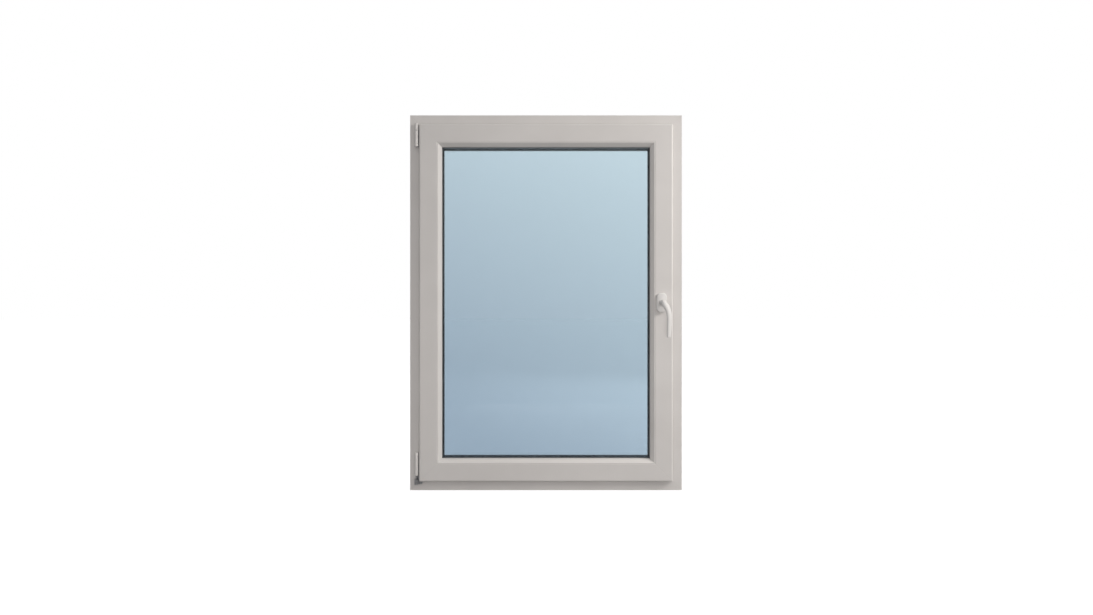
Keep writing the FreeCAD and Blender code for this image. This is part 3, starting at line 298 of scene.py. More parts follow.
@dataclass(frozen=True)
class MouldedPlastic:
    """A small injection-moulded part."""

    name: str
    colour: Colour
    roughness: float
    sheen: Sheen = Sheen.SMOOTH
    smoother: float = 0.04
    rougher: float = 0.05
    worn_share: float = 0.94
    wear: float = 35
    grain: float = 2400
    grain_depth: float = 0.01 * MM

    def make(self) -> bpy.types.Material:
        """Build the material.

        Returns:
            The material.
        """
        desk = Desk(self.name)
        grain = desk.noise(self.grain)
        worn = tuple(self.worn_share * part for part in self.colour)
        desk.drive("Base Color", desk.blend(desk.spread(desk.noise(self.wear, 3), 0, 1), worn, self.colour))
        desk.drive("Roughness", desk.spread(grain, self.roughness - self.smoother,
                                            self.roughness + self.rougher))
        desk.relief(grain, self.grain_depth * self.sheen.value)
        return desk.material


@dataclass(frozen=True)
class PowderCoat:
    """White powder coat on a cast handle, with the faint orange peel that it has."""

    colour: Colour = (0.80, 0.78, 0.765)
    handled_share: float = 0.97
    handling: float = 28
    roughness: Span = (0.24, 0.30)
    peel: float = 700
    peel_depth: float = 0.0015 * MM
    lacquer: float = 0.25
    lacquer_roughness: float = 0.15

    def make(self) -> bpy.types.Material:
        """Build the material.

        Returns:
            The material.
        """
        desk = Desk("powder_coat")
        peel = desk.noise(self.peel)
        handled = tuple(self.handled_share * part for part in self.colour)
        places = desk.spread(desk.noise(self.handling, 3), 0, 1)
        desk.drive("Base Color", desk.blend(places, handled, self.colour))
        desk.drive("Roughness", desk.spread(peel, *self.roughness))
        desk.relief(peel, self.peel_depth)
        desk.fix(coat_weight=self.lacquer, coat_roughness=self.lacquer_roughness)
        return desk.material


@dataclass(frozen=True)
class RubberSeal:
    """A matt weather seal with fine die lines and a little dust."""

    name: str
    colour: Colour
    dusty: Colour
    roughness: Span = (0.5, 0.72)
    dust: float = 260
    dust_range: Span = (0.35, 0.75)
    lines: float = 1800
    line_stretch: float = 0.2
    line_depth: float = 0.02 * MM

    def make(self) -> bpy.types.Material:
        """Build the material.

        Returns:
            The material.
        """
        desk = Desk(self.name)
        dust = desk.spread(desk.noise(self.dust, 4), 0, 1, *self.dust_range)
        desk.drive("Base Color", desk.blend(dust, self.colour, self.dusty))
        desk.drive("Roughness", desk.spread(dust, *self.roughness, 0, 1))
        desk.relief(desk.noise(self.lines, stretch=Run.UPRIGHT.stretch(self.line_stretch)), self.line_depth)
        return desk.material


@dataclass(frozen=True)
class TintedGlass:
    """Float glass with a pale blue tint, and a painted sky reflection over it: darker towards the foot on
    the hinge side, paler towards the head on the handle side.
    """

    name: str
    # The two ends of a painted sky reflection: the first, darker, at the foot on the hinge side, the second,
    # paler, at the head on the handle side.
    least_reflection: Colour = (0.53, 0.61, 0.68)
    clear: Colour = (0.737, 0.824, 0.867)
    slant: float = 0.35
    painted_reflection_range: Span = (0.05, 1.0)
    roughness: Span = (0.0, 0.02)
    haze: float = 4
    waves: float = 2.5
    wave_depth: float = 0.02 * MM
    bending: float = 1.46

    def make(self) -> bpy.types.Material:
        """Build the material.

        Returns:
            The material.
        """
        desk = Desk(self.name)
        # Painted sky reflection, laid out by the place on the glass: paler up the glass and towards the
        # handle side.
        across, _, up = desk.axes()
        height = desk.work_out("DIVIDE", up, HEIGHT)
        slanted = desk.work_out("ADD", desk.work_out("MULTIPLY", across, self.slant / WIDTH), height)
        painted_reflection = desk.spread(slanted, 0, 1, *self.painted_reflection_range)
        desk.drive("Base Color", desk.blend(painted_reflection, self.least_reflection, self.clear))
        desk.drive("Roughness", desk.spread(desk.noise(self.haze, 3), *self.roughness))
        desk.relief(desk.noise(self.waves, 1), self.wave_depth)
        desk.fix(transmission_weight=1.0, ior=self.bending)
        return desk.material


@dataclass(frozen=True)
class PlatedMetal:
    """Zinc-plated or bare metal, with fine lines from its rolling or turning."""

    name: str
    colour: Colour
    roughness: float
    stretch: Point = (1, 1, 1)
    smoother: float = 0.06
    rougher: float = 0.1
    dulling: float = 0.14
    clouds: float = 60
    cloud_range: Span = (0.3, 0.75)
    lines: float = 1600
    line_depth: float = 0.003 * MM

    def make(self) -> bpy.types.Material:
        """Build the material.

        Returns:
            The material.
        """
        desk = Desk(self.name)
        lines = desk.noise(self.lines, stretch=self.stretch)
        cloud = desk.spread(desk.noise(self.clouds, 4), 0, 1, *self.cloud_range)
        darker = tuple((1 - self.dulling) * part for part in self.colour)
        desk.drive("Base Color", desk.blend(cloud, self.colour, darker))
        desk.drive("Roughness", desk.spread(lines, self.roughness - self.smoother,
                                            self.roughness + self.rougher))
        desk.relief(lines, self.line_depth)
        desk.fix(metallic=1.0)
        return desk.material


class Palette:
    """Every finish of the window, made once."""

    def __init__(self) -> None:
        """Make the materials."""
        along_upright, along_level = Run.UPRIGHT.stretch(0.03), Run.LEVEL.stretch(0.03)
        self.upright = WhiteProfile(Run.UPRIGHT).make()
        self.level = WhiteProfile(Run.LEVEL).make()
        self.cover = MouldedPlastic("white_cover", (0.79, 0.765, 0.745), 0.3).make()
        self.coat = PowderCoat().make()
        self.seal = RubberSeal("dark_seal", (0.105, 0.113, 0.12), (0.145, 0.153, 0.16)).make()
        self.sealant = RubberSeal("edge_sealant", (0.03, 0.03, 0.035), (0.06, 0.06, 0.065)).make()
        self.inner_glass = TintedGlass("inner_glass").make()
        self.outer_glass = TintedGlass("outer_glass").make()
        self.spacer = PlatedMetal("spacer_aluminium", (0.76, 0.77, 0.78), 0.34).make()
        self.blocks = MouldedPlastic("block_plastic", (0.10, 0.17, 0.34), 0.45, Sheen.GRAINED).make()
        self.base = MouldedPlastic("base_plastic", (0.42, 0.42, 0.42), 0.45, Sheen.GRAINED).make()
        self.galvanised = PlatedMetal("galvanised_steel", (0.62, 0.64, 0.66), 0.42, dulling=0.24).make()
        self.zinc_upright = PlatedMetal("zinc_upright", (0.72, 0.73, 0.75), 0.3, along_upright).make()
        self.zinc_level = PlatedMetal("zinc_level", (0.72, 0.73, 0.75), 0.3, along_level).make()
        self.turned = PlatedMetal("turned_steel", (0.66, 0.67, 0.69), 0.24).make()
        self.screw = PlatedMetal("screw_steel", (0.70, 0.70, 0.69), 0.27).make()


def dress(material: bpy.types.Material, *nodes: str) -> None:
    """Give CAD nodes that stay visible their finish.

    Args:
        material: the finish.
        nodes: the names of the nodes.
    """
    for name in nodes:
        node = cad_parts[name]
        node.data.materials.clear()
        node.data.materials.append(material)
        LOG.info("dressed %s with %s", name, material.name)


# --- modelling by hand ------------------------------------------------------------------------

# How near counts as touching, how straight a normal has to be, and the angle that edges stay sharp past.
CLOSE = 0.01 * MM
STRAIGHT = 0.99
SMOOTH_ANGLE = 35.0


def fresh() -> None:
    """Leave edit mode and deselect everything."""
    if bpy.context.object and bpy.context.object.mode != "OBJECT":
        bpy.ops.object.mode_set(mode="OBJECT")
    bpy.ops.object.select_all(action="DESELECT")


def begin(name: str) -> bpy.types.Object:
    """Name the primitive just added, settle its place in its mesh and open it for editing.

    Args:
        name: the new piece's name.

    Returns:
        The piece, in edit mode with all of it selected.
    """
    piece = bpy.context.object
    piece.name = name
    piece.data.name = name
    bpy.ops.object.transform_apply(location=True, rotation=True, scale=True)
    bpy.ops.object.mode_set(mode="EDIT")
    bpy.ops.mesh.select_all(action="SELECT")
    return piece


def pick_faces(piece: bpy.types.Object, wanted: Callable[[bmesh.types.BMFace], bool]) -> None:
    """Select just the faces that pass a test.

    Args:
        piece: the piece in edit mode.
        wanted: the test, of a face.
    """
    mesh = bmesh.from_edit_mesh(piece.data)
    bpy.ops.mesh.select_all(action="DESELECT")
    bpy.ops.mesh.select_mode(type="FACE")
    for face in mesh.faces:
        face.select_set(wanted(face))
    bmesh.update_edit_mesh(piece.data)


def pick_edges(piece: bpy.types.Object, wanted: Callable[[bmesh.types.BMEdge], bool]) -> None:
    """Select just the edges that pass a test.

    Args:
        piece: the piece in edit mode.
        wanted: the test, of an edge.
    """
    mesh = bmesh.from_edit_mesh(piece.data)
    bpy.ops.mesh.select_mode(type="EDGE")
    bpy.ops.mesh.select_all(action="DESELECT")
    for edge in mesh.edges:
        edge.select_set(wanted(edge))
    bmesh.update_edit_mesh(piece.data)


def along_depth(edge: bmesh.types.BMEdge) -> bool:
    """Whether an edge runs straight from the room side to the outdoor side."""
    start, end = edge.verts[0].co, edge.verts[1].co
    return abs(start.y - end.y) > 0.9 * (start - end).length


def block_with_corners(name: str, box: Box, corner: float, steps: int) -> bpy.types.Object:
    """Start a piece as a block whose corners are round as seen from the room.

    Args:
        name: the new piece's name.
        box: its lowest and highest corner.
        corner: the radius of the corners.
        steps: how many facets each corner has.

    Returns:
        The piece, in edit mode.
    """
    low, high = box
    fresh()
    bpy.ops.mesh.primitive_cube_add(size=1, location=(low + high) / 2, scale=high - low)
    piece = begin(name)
    pick_edges(piece, along_depth)
    bpy.ops.mesh.bevel(offset=corner, segments=steps)
    return piece


def raise_rings(rings: list[Span], level: float, width: float, centre: Vector) -> None:
    """Draw the selected face upwards ring by ring, each scaled to its own width.

    Args:
        rings: pairs of a level and a width, from the lowest up.
        level: the face's own level.
        width: the face's own width, in the unit of the rings.
        centre: a point on their axis.
    """
    for new_level, new_width in rings:
        bpy.ops.mesh.extrude_region_move(TRANSFORM_OT_translate={"value": (0, 0, new_level - level)})
        share = new_width / width
        bpy.ops.transform.resize(value=(share, share, 1), center_override=(centre.x, centre.y, new_level))
        level, width = new_level, new_width


def close_up(piece: bpy.types.Object, material: bpy.types.Material,
             smooth_angle: float = SMOOTH_ANGLE) -> None:
    """Merge doubles, turn the faces outwards, leave edit mode, smooth the piece and give it its finish.

    Args:
        piece: the piece in edit mode.
        material: its finish.
        smooth_angle: edges sharper than this angle, in degrees, stay sharp.
    """
    bpy.ops.mesh.select_all(action="SELECT")
    bpy.ops.mesh.remove_doubles(threshold=CLOSE)
    bpy.ops.mesh.normals_make_consistent(inside=False)
    bpy.ops.object.mode_set(mode="OBJECT")
    bpy.ops.object.shade_smooth_by_angle(angle=math.radians(smooth_angle))
    piece.data.materials.clear()
    piece.data.materials.append(material)


def finish_with(piece: bpy.types.Object, kind: str, **settings: float | int | str) -> None:
    """Add a modifier and apply it at once.

    Args:
        piece: the piece, in object mode.
        kind: the modifier's type.
        settings: its settings.
    """
    fresh()
    bpy.context.view_layer.objects.active = piece
    piece.select_set(True)
    modifier = piece.modifiers.new(kind.lower(), kind)
    for name, value in settings.items():
        setattr(modifier, name, value)
    bpy.ops.object.modifier_apply(modifier=modifier.name)


def middle_of(box: Box) -> Vector:
    """The middle of a box."""
    return (box[0] + box[1]) / 2


def settle(piece: bpy.types.Object, body: str, slot: str, *nodes: str) -> None:
    """Put a finished piece on its body, in place of CAD nodes.

    Args:
        piece: the finished piece.
        body: the CAD body that it rides on.
        slot: the record's material slot; not used.
        nodes: the nodes that it stands for, if any.
    """
    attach(piece, body)
    if nodes:
        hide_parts(*nodes)
    LOG.info("built %s: %d faces on %s", piece.name, len(piece.data.polygons), body)


def copy_moved(piece: bpy.types.Object, name: str, move: Matrix) -> bpy.types.Object:
    """Copy a piece with a mesh of its own, moved within the mesh.

    Args:
        piece: the piece to copy.
        name: the copy's name.
        move: the matrix that takes a point of the piece to its place in the copy.

    Returns:
        The copy.
    """
    twin = piece.copy()
    twin.data = piece.data.copy()
    twin.name = name
    twin.data.name = name
    bpy.context.scene.collection.objects.link(twin)
    twin.data.transform(move)
    return twin


def join_all(pieces: list[bpy.types.Object]) -> bpy.types.Object:
    """Join separate pieces into the first of them.

    Args:
        pieces: the pieces.

    Returns:
        The joined piece.
    """
    fresh()
    for piece in pieces:
        piece.select_set(True)
    bpy.context.view_layer.objects.active = pieces[0]
    bpy.ops.object.join()
    return bpy.context.object


def solids_of(node: str) -> list[Box]:
    """The box of each separate solid in a CAD node.

    Args:
        node: the node's name.

    Returns:
        The lowest and highest corner of each solid, in a steady order.
    """
    mesh = bmesh.new()
    mesh.from_mesh(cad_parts[node].data)
    bmesh.ops.remove_doubles(mesh, verts=mesh.verts, dist=0.001 * MM)
    left = set(mesh.verts)
    boxes = []
    while left:
        queue = [left.pop()]
        found = list(queue)
        while queue:
            vertex = queue.pop()
            for edge in vertex.link_edges:
                other = edge.other_vert(vertex)
                if other in left:
                    left.discard(other)
                    queue.append(other)
                    found.append(other)
        low = Vector(min(vertex.co[axis] for vertex in found) for axis in range(3))
        high = Vector(max(vertex.co[axis] for vertex in found) for axis in range(3))
        boxes.append((low, high))
    mesh.free()
    return sorted(boxes, key=lambda pair: tuple(round(value, 5) for value in pair[0]))


# --- handle -----------------------------------------------------------------------------------


@dataclass(frozen=True)
class Station:
    """One section of the lever: how far its centre lies from the neck's start, and its half sizes, in mm."""

    across: float
    out: float
    down: float
    half_width: float
    half_depth: float


LEVER_STATIONS = (
    Station(0.0, 9.0, 0.0, 10.0, 10.0),
    Station(0.0, 18.0, 0.2, 10.2, 10.2),
    Station(1.4, 26.5, 2.4, 11.2, 10.6),
    Station(4.6, 33.0, 7.4, 12.2, 9.6),
    Station(9.4, 37.6, 14.6, 12.3, 8.3),
    Station(14.0, 39.6, 24.0, 11.6, 7.2),
    Station(17.2, 40.2, 36.0, 10.8, 6.4),
    Station(18.8, 40.0, 52.0, 10.3, 6.0),
    Station(19.0, 39.4, 76.0, 9.8, 5.7),
    Station(18.4, 38.8, 100.0, 9.3, 5.4),
    Station(17.8, 38.5, 120.0, 8.9, 5.2),
    Station(17.8, 38.5, 123.2, 8.6, 4.9),
    Station(17.8, 38.5, 124.0, 7.2, 3.6),
)


@dataclass
class Lever:
    """The lever: a round neck out of the rosette, a swept knuckle and an oval grip beside the neck."""

    stations: tuple[Station, ...] = LEVER_STATIONS
    sides: int = 20
    roundness: int = 2
    smooth_angle: float = 80.0

    def build(self, palette: Palette) -> None:
        """Model the lever section by section and settle it on the handle.

        Args:
            palette: the finishes.
        """
        axis = middle_of(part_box("spindle"))
        start = Vector((axis.x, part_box("handle_lever")[1].y, axis.z))
        centres = [start] + [start + Vector((each.across, -each.out, -each.down)) * MM
                             for each in self.stations]
        radius = self.stations[0].half_width * MM
        fresh()
        bpy.ops.mesh.primitive_circle_add(vertices=self.sides, radius=radius, fill_type="NGON",
                                          location=start, rotation=(math.pi / 2, 0, 0))
        piece = begin("lever")
        section = Matrix(((1, 0, 0), (0, 0, -1), (0, 1, 0)))
        half_width = half_depth = radius
        for number, station in enumerate(self.stations, start=1):
            before, target = centres[number - 1], centres[number]
            bpy.ops.mesh.extrude_region_move(TRANSFORM_OT_translate={"value": target - before})
            self.turn_to(target, section.inverted())
            new_width, new_depth = station.half_width * MM, station.half_depth * MM
            bpy.ops.transform.resize(value=(new_width / half_width, new_depth / half_depth, 1),
                                     center_override=target)
            half_width, half_depth = new_width, new_depth
            following = centres[min(number + 1, len(centres) - 1)]
            heading = (following - before).normalized()
            section = section.col[2].rotation_difference(heading).to_matrix() @ section
            self.turn_to(target, section)
        close_up(piece, palette.coat, self.smooth_angle)
        finish_with(piece, "SUBSURF", levels=self.roundness, render_levels=self.roundness)
        settle(piece, "handle", "handle_white", "handle_lever")

    def turn_to(self, centre: Vector, turn: Matrix) -> None:
        """Turn the selected ring about a point.

        Args:
            centre: the point that stays.
            turn: the turn, as a rotation matrix.
        """
        for angle, axis in zip(turn.to_euler("XYZ"), "XYZ"):
            bpy.ops.transform.rotate(value=-angle, orient_axis=axis, center_override=centre)


@dataclass
class Rosette:
    """The cover behind the lever: a soft-edged shell, open behind, with a slightly raised face."""

    corner: float = 15.0 * MM
    corner_steps: int = 12
    edge: float = 2.6 * MM
    edge_steps: int = 5
    border: float = 2.0 * MM
    slope: float = 0.8 * MM
    rise: float = 0.35 * MM
    wall: float = 1.6 * MM
    front_wall: float = 2.4 * MM
    smallest_face: float = 3e-4
    smooth_angle: float = 40.0

    def build(self, palette: Palette) -> None:
        """Model the cover and settle it on the sash.

        Args:
            palette: the finishes.
        """
        low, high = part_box("rosette_cover")
        piece = block_with_corners("rosette", (low, high), self.corner, self.corner_steps)
        front = low.y + CLOSE
        pick_edges(piece, lambda edge: max(vertex.co.y for vertex in edge.verts) < front)
        bpy.ops.mesh.bevel(offset=self.edge, segments=self.edge_steps)
        pick_faces(piece, lambda face: face.normal.y < -STRAIGHT and face.calc_area() > self.smallest_face)
        bpy.ops.mesh.inset(thickness=self.border)
        bpy.ops.mesh.inset(thickness=self.slope, depth=self.rise)
        pick_faces(piece, lambda face: face.normal.y > STRAIGHT)
        bpy.ops.mesh.inset(thickness=self.wall)
        hollow = high.y - low.y - self.front_wall
        bpy.ops.mesh.extrude_region_move(TRANSFORM_OT_translate={"value": (0, -hollow, 0)})
        close_up(piece, palette.coat, self.smooth_angle)
        settle(piece, "sash", "handle_white", "rosette_cover")


@dataclass
class Collar:
    """The turned collar between the rosette and the lever's neck, with a shallow ring cut in its face."""

    radius: float = 12.6 * MM
    height: float = 1.6 * MM
    sunk: float = 0.2 * MM
    sides: int = 40
    edge: float = 0.7 * MM
    edge_steps: int = 4
    border: float = 0.8 * MM
    slope: float = 0.7 * MM
    cut: float = 0.6 * MM

    def build(self, palette: Palette) -> None:
        """Model the collar and settle it on the sash.

        Args:
            palette: the finishes.
        """
        axis = middle_of(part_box("spindle"))
        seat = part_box("rosette_cover")[0].y + self.sunk
        fresh()
        bpy.ops.mesh.primitive_cylinder_add(vertices=self.sides, radius=self.radius, depth=self.height,
                                            location=(axis.x, seat - self.height / 2, axis.z),
                                            rotation=(math.pi / 2, 0, 0))
        piece = begin("rosette_collar")
        front = seat - self.height + CLOSE
        pick_edges(piece, lambda edge: max(vertex.co.y for vertex in edge.verts) < front)
        bpy.ops.mesh.bevel(offset=self.edge, segments=self.edge_steps)
        pick_faces(piece, lambda face: face.normal.y < -STRAIGHT)
        bpy.ops.mesh.inset(thickness=self.border)
        bpy.ops.mesh.inset(thickness=self.slope, depth=-self.cut)
        close_up(piece, palette.coat)
        settle(piece, "sash", "handle_white")


# --- hinge covers -----------------------------------------------------------------------------


@dataclass
class HingeSleeve:
    """A clip-on cover round a hinge barrel, open behind for the leaf and grooved near both ends."""

    node: str
    body: str
    roofed: bool
    sides: int = 72
    wall: float = 1.0 * MM
    soft_edge: float = 0.18 * MM
    gap_start: float = 38.8
    gap_end: float = 114.7
    rim: float = 0.7 * MM
    rim_width: float = 0.94
    groove_place: float = 5.0 * MM
    groove: tuple[Span, ...] = ((-0.35 * MM, 1.0), (-0.15 * MM, 0.955), (0.15 * MM, 0.955), (0.35 * MM, 1.0))
    roof: tuple[Span, ...] = ((2.0 * MM, 1.0), (1.3 * MM, 0.975), (0.7 * MM, 0.90), (0.25 * MM, 0.76),
                              (0.0, 0.5))

    def build(self, palette: Palette) -> None:
        """Model the cover ring by ring and settle it.

        Args:
            palette: the finishes.
        """
        low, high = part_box(self.node)
        radius = (high.x - low.x) / 2
        centre = Vector((low.x + radius, low.y + radius, low.z))
        fresh()
        bpy.ops.mesh.primitive_circle_add(vertices=self.sides, radius=radius * self.rim_width,
                                          fill_type="NGON", location=centre)
        piece = begin(self.node + "_shell")
        raise_rings(self.rings(low.z, high.z), low.z, self.rim_width, centre)
        below = high.z - self.roof[0][0] if self.roofed else high.z + MM
        pick_faces(piece, lambda face: self.is_open(face, centre, below))
        bpy.ops.mesh.delete(type="FACE")
        close_up(piece, palette.cover)
        finish_with(piece, "SOLIDIFY", thickness=self.wall, offset=-1)
        finish_with(piece, "BEVEL", width=self.soft_edge, segments=2, limit_method="ANGLE", angle_limit=0.9)
        settle(piece, self.body, "white_cover", self.node)

    def rings(self, bottom: float, top: float) -> list[Span]:
        """The levels and widths of the rings above the first one.

        Args:
            bottom: the cover's lowest level.
            top: its highest level.

        Returns:
            Pairs of a level and a share of the full radius.
        """
        rings = [(bottom + self.rim, 1.0)]
        for place in (bottom + self.groove_place, top - self.groove_place):
            rings += [(place + off, width) for off, width in self.groove]
        if self.roofed:
            return rings + [(top - drop, width) for drop, width in self.roof]
        return rings + [(top - self.rim, 1.0), (top, self.rim_width)]

    def is_open(self, face: bmesh.types.BMFace, centre: Vector, below: float) -> bool:
        """Whether a face is a flat end, or lies in the gap for the leaf.

        Args:
            face: the face.
            centre: a point on the cover's axis.
            below: only the faces under this level are taken off.

        Returns:
            True where the cover stays open.
        """
        place = face.calc_center_median()
        if place.z >= below:
            return False
        if len(face.verts) == self.sides:
            return True
        angle = math.degrees(math.atan2(place.y - centre.y, place.x - centre.x))
        return self.gap_start < angle < self.gap_end


# --- screws -----------------------------------------------------------------------------------


class Facing(Enum):
    """Where the heads of a set of screws point."""

    INWARD = "inward"
    OUTWARD = "outward"
    ROOM = "room"


@dataclass
class ScrewSet:
    """A set of cross-recessed screws. The widths are shares of the head's radius or of the shank's."""

    node: str
    facing: Facing
    body: str = "sash"
    sides: int = 24
    shank: float = 0.57
    tip: float = 0.3
    tip_length: float = 1.4
    neck: float = 0.2 * MM
    head_height: float = 0.45
    head: tuple[Span, ...] = ((1.0, 0.96), (0.72, 1.0), (0.4, 0.98), (0.12, 0.86), (0.0, 0.62))
    recess: float = 0.85 * MM
    recess_width: float = 0.75 * MM
    recess_length: float = 0.95
    recess_taper: float = 0.55

    def build(self, palette: Palette) -> None:
        """Model one screw, copy it to every place and settle the set.

        Args:
            palette: the finishes.
        """
        places = solids_of(self.node)
        pattern = self.screw(places[0], palette)
        copies = [copy_moved(pattern, f"{self.node}_{number}", self.move_to(box))
                  for number, box in enumerate(places)]
        bpy.data.objects.remove(pattern)
        piece = join_all(copies)
        piece.name = self.node + "_set"
        settle(piece, self.body, "screw_steel", self.node)

    def move_to(self, box: Box) -> Matrix:
        """The move that takes a screw from the origin to its place.

        Args:
            box: the box of the plain screw at that place.

        Returns:
            The move.
        """
        size, centre = box[1] - box[0], middle_of(box)
        turn = Vector((0, 0, 1)).rotation_difference(self.direction(size, centre)).to_matrix().to_4x4()
        return Matrix.Translation(centre) @ turn @ Matrix.Translation((0, 0, -max(size) / 2))

    def direction(self, size: Vector, centre: Vector) -> Vector:
        """The way that a screw's head points.

        Args:
            size: the size of the screw's box.
            centre: the middle of the box.

        Returns:
            A unit vector.
        """
        if self.facing is Facing.ROOM:
            return Vector((0, -1, 0))
        outward = 1 if self.facing is Facing.OUTWARD else -1
        if size.x > size.z:
            return Vector((math.copysign(1, centre.x) * outward, 0, 0))
        return Vector((0, 0, math.copysign(1, centre.z - HEIGHT / 2) * outward))

    def screw(self, box: Box, palette: Palette) -> bpy.types.Object:
        """Model one screw with its tip at the origin and its head upwards.

        Args:
            box: the box of one plain screw.
            palette: the finishes.

        Returns:
            The screw.
        """
        _, width, length = sorted(box[1] - box[0])
        head = width / 2
        shank, head_height = self.shank * head, self.head_height * head
        fresh()
        bpy.ops.mesh.primitive_circle_add(vertices=self.sides, radius=self.tip * shank, fill_type="NGON")
        piece = begin("screw")
        rings = [(self.tip_length * shank, shank), (length - head_height - self.neck, shank)]
        rings += [(length - drop * head_height, share * head) for drop, share in self.head]
        raise_rings(rings, 0.0, self.tip * shank, Vector())
        close_up(piece, palette.screw)
        for turn in (0.0, math.pi / 2):
            self.notch(piece, length, self.recess_length * head, turn)
        fresh()
        bpy.context.view_layer.objects.active = piece
        piece.select_set(True)
        bpy.ops.object.shade_smooth_by_angle(angle=math.radians(SMOOTH_ANGLE))
        return piece

    def notch(self, piece: bpy.types.Object, level: float, reach: float, turn: float) -> None:
        """Cut one arm of the cross recess.

        Args:
            piece: the screw.
            level: the height of the top of the head.
            reach: the length of the arm.
            turn: how far the arm is turned about the screw's axis.
        """
        fresh()
        bpy.ops.mesh.primitive_cube_add(size=1, location=(0, 0, level), rotation=(0, 0, turn),
                                        scale=(reach, self.recess_width, 2 * self.recess))
        cutter = begin("recess_cutter")
        pick_faces(cutter, lambda face: face.calc_center_median().z < level - self.recess / 2)
        bpy.ops.transform.resize(value=(self.recess_taper, self.recess_taper, 1),
                                 center_override=(0, 0, level))
        bpy.ops.object.mode_set(mode="OBJECT")
        finish_with(piece, "BOOLEAN", object=cutter, operation="DIFFERENCE", solver="EXACT")
        bpy.data.objects.remove(cutter)


# --- drain hoods ------------------------------------------------------------------------------


@dataclass
class DrainHoods:
    """The hooded covers over the drain slots on the outdoor face, each open underneath."""

    corner: float = 3.6 * MM
    corner_steps: int = 6
    edge: float = 0.8 * MM
    edge_steps: int = 4
    rim: float = 1.4 * MM
    step: float = 0.5 * MM
    lip: float = 0.35 * MM
    mouth: float = 3.0 * MM

    def build(self, palette: Palette) -> None:
        """Model one hood, copy it and settle the pair.

        Args:
            palette: the finishes.
        """
        first, second = solids_of("drain_covers")
        hood = block_with_corners("drain_hood", first, self.corner, self.corner_steps)
        back = first[1].y - CLOSE
        pick_edges(hood, lambda edge: min(vertex.co.y for vertex in edge.verts) > back)
        bpy.ops.mesh.bevel(offset=self.edge, segments=self.edge_steps)
        pick_faces(hood, lambda face: face.normal.y > STRAIGHT)
        bpy.ops.mesh.inset(thickness=self.rim)
        bpy.ops.mesh.inset(thickness=self.step, depth=-self.step)
        pick_faces(hood, lambda face: face.normal.z < -STRAIGHT)
        bpy.ops.mesh.inset(thickness=self.lip)
        bpy.ops.mesh.extrude_region_move(TRANSFORM_OT_translate={"value": (0, 0, self.mouth)})
        close_up(hood, palette.cover)
        twin = copy_moved(hood, "drain_hood_pair", Matrix.Translation(second[0] - first[0]))
        settle(join_all([hood, twin]), "frame", "white_cover", "drain_covers")


# --- studio -----------------------------------------------------------------------------------


@dataclass(frozen=True)
class Lamp:
    """A soft square light: where it hangs, the point it faces, its side, its watts and its colour."""

    name: str
    place: Point
    aim: Point
    side: float
    power: float
    colour: Colour


LAMPS = (
    Lamp("key", (2.45, -0.87, 1.9), (0.0, -0.03, 0.69), 0.8, 54.0, (1.0, 0.975, 0.94)),
    Lamp("overhead", (-0.3, -2.6, 4.6), (0.0, 0.0, 0.69), 2.0, 12.0, (1.0, 0.975, 0.95)),
    Lamp("low_fill", (0.0, -1.9, 0.15), (0.0, 0.0, 0.4), 1.2, 12.0, (1.0, 0.97, 0.95)),
    Lamp("back_fill", (0.9, 2.8, 2.0), (0.0, 0.0, 0.69), 1.6, 42.0, (1.0, 0.98, 0.96)),
)


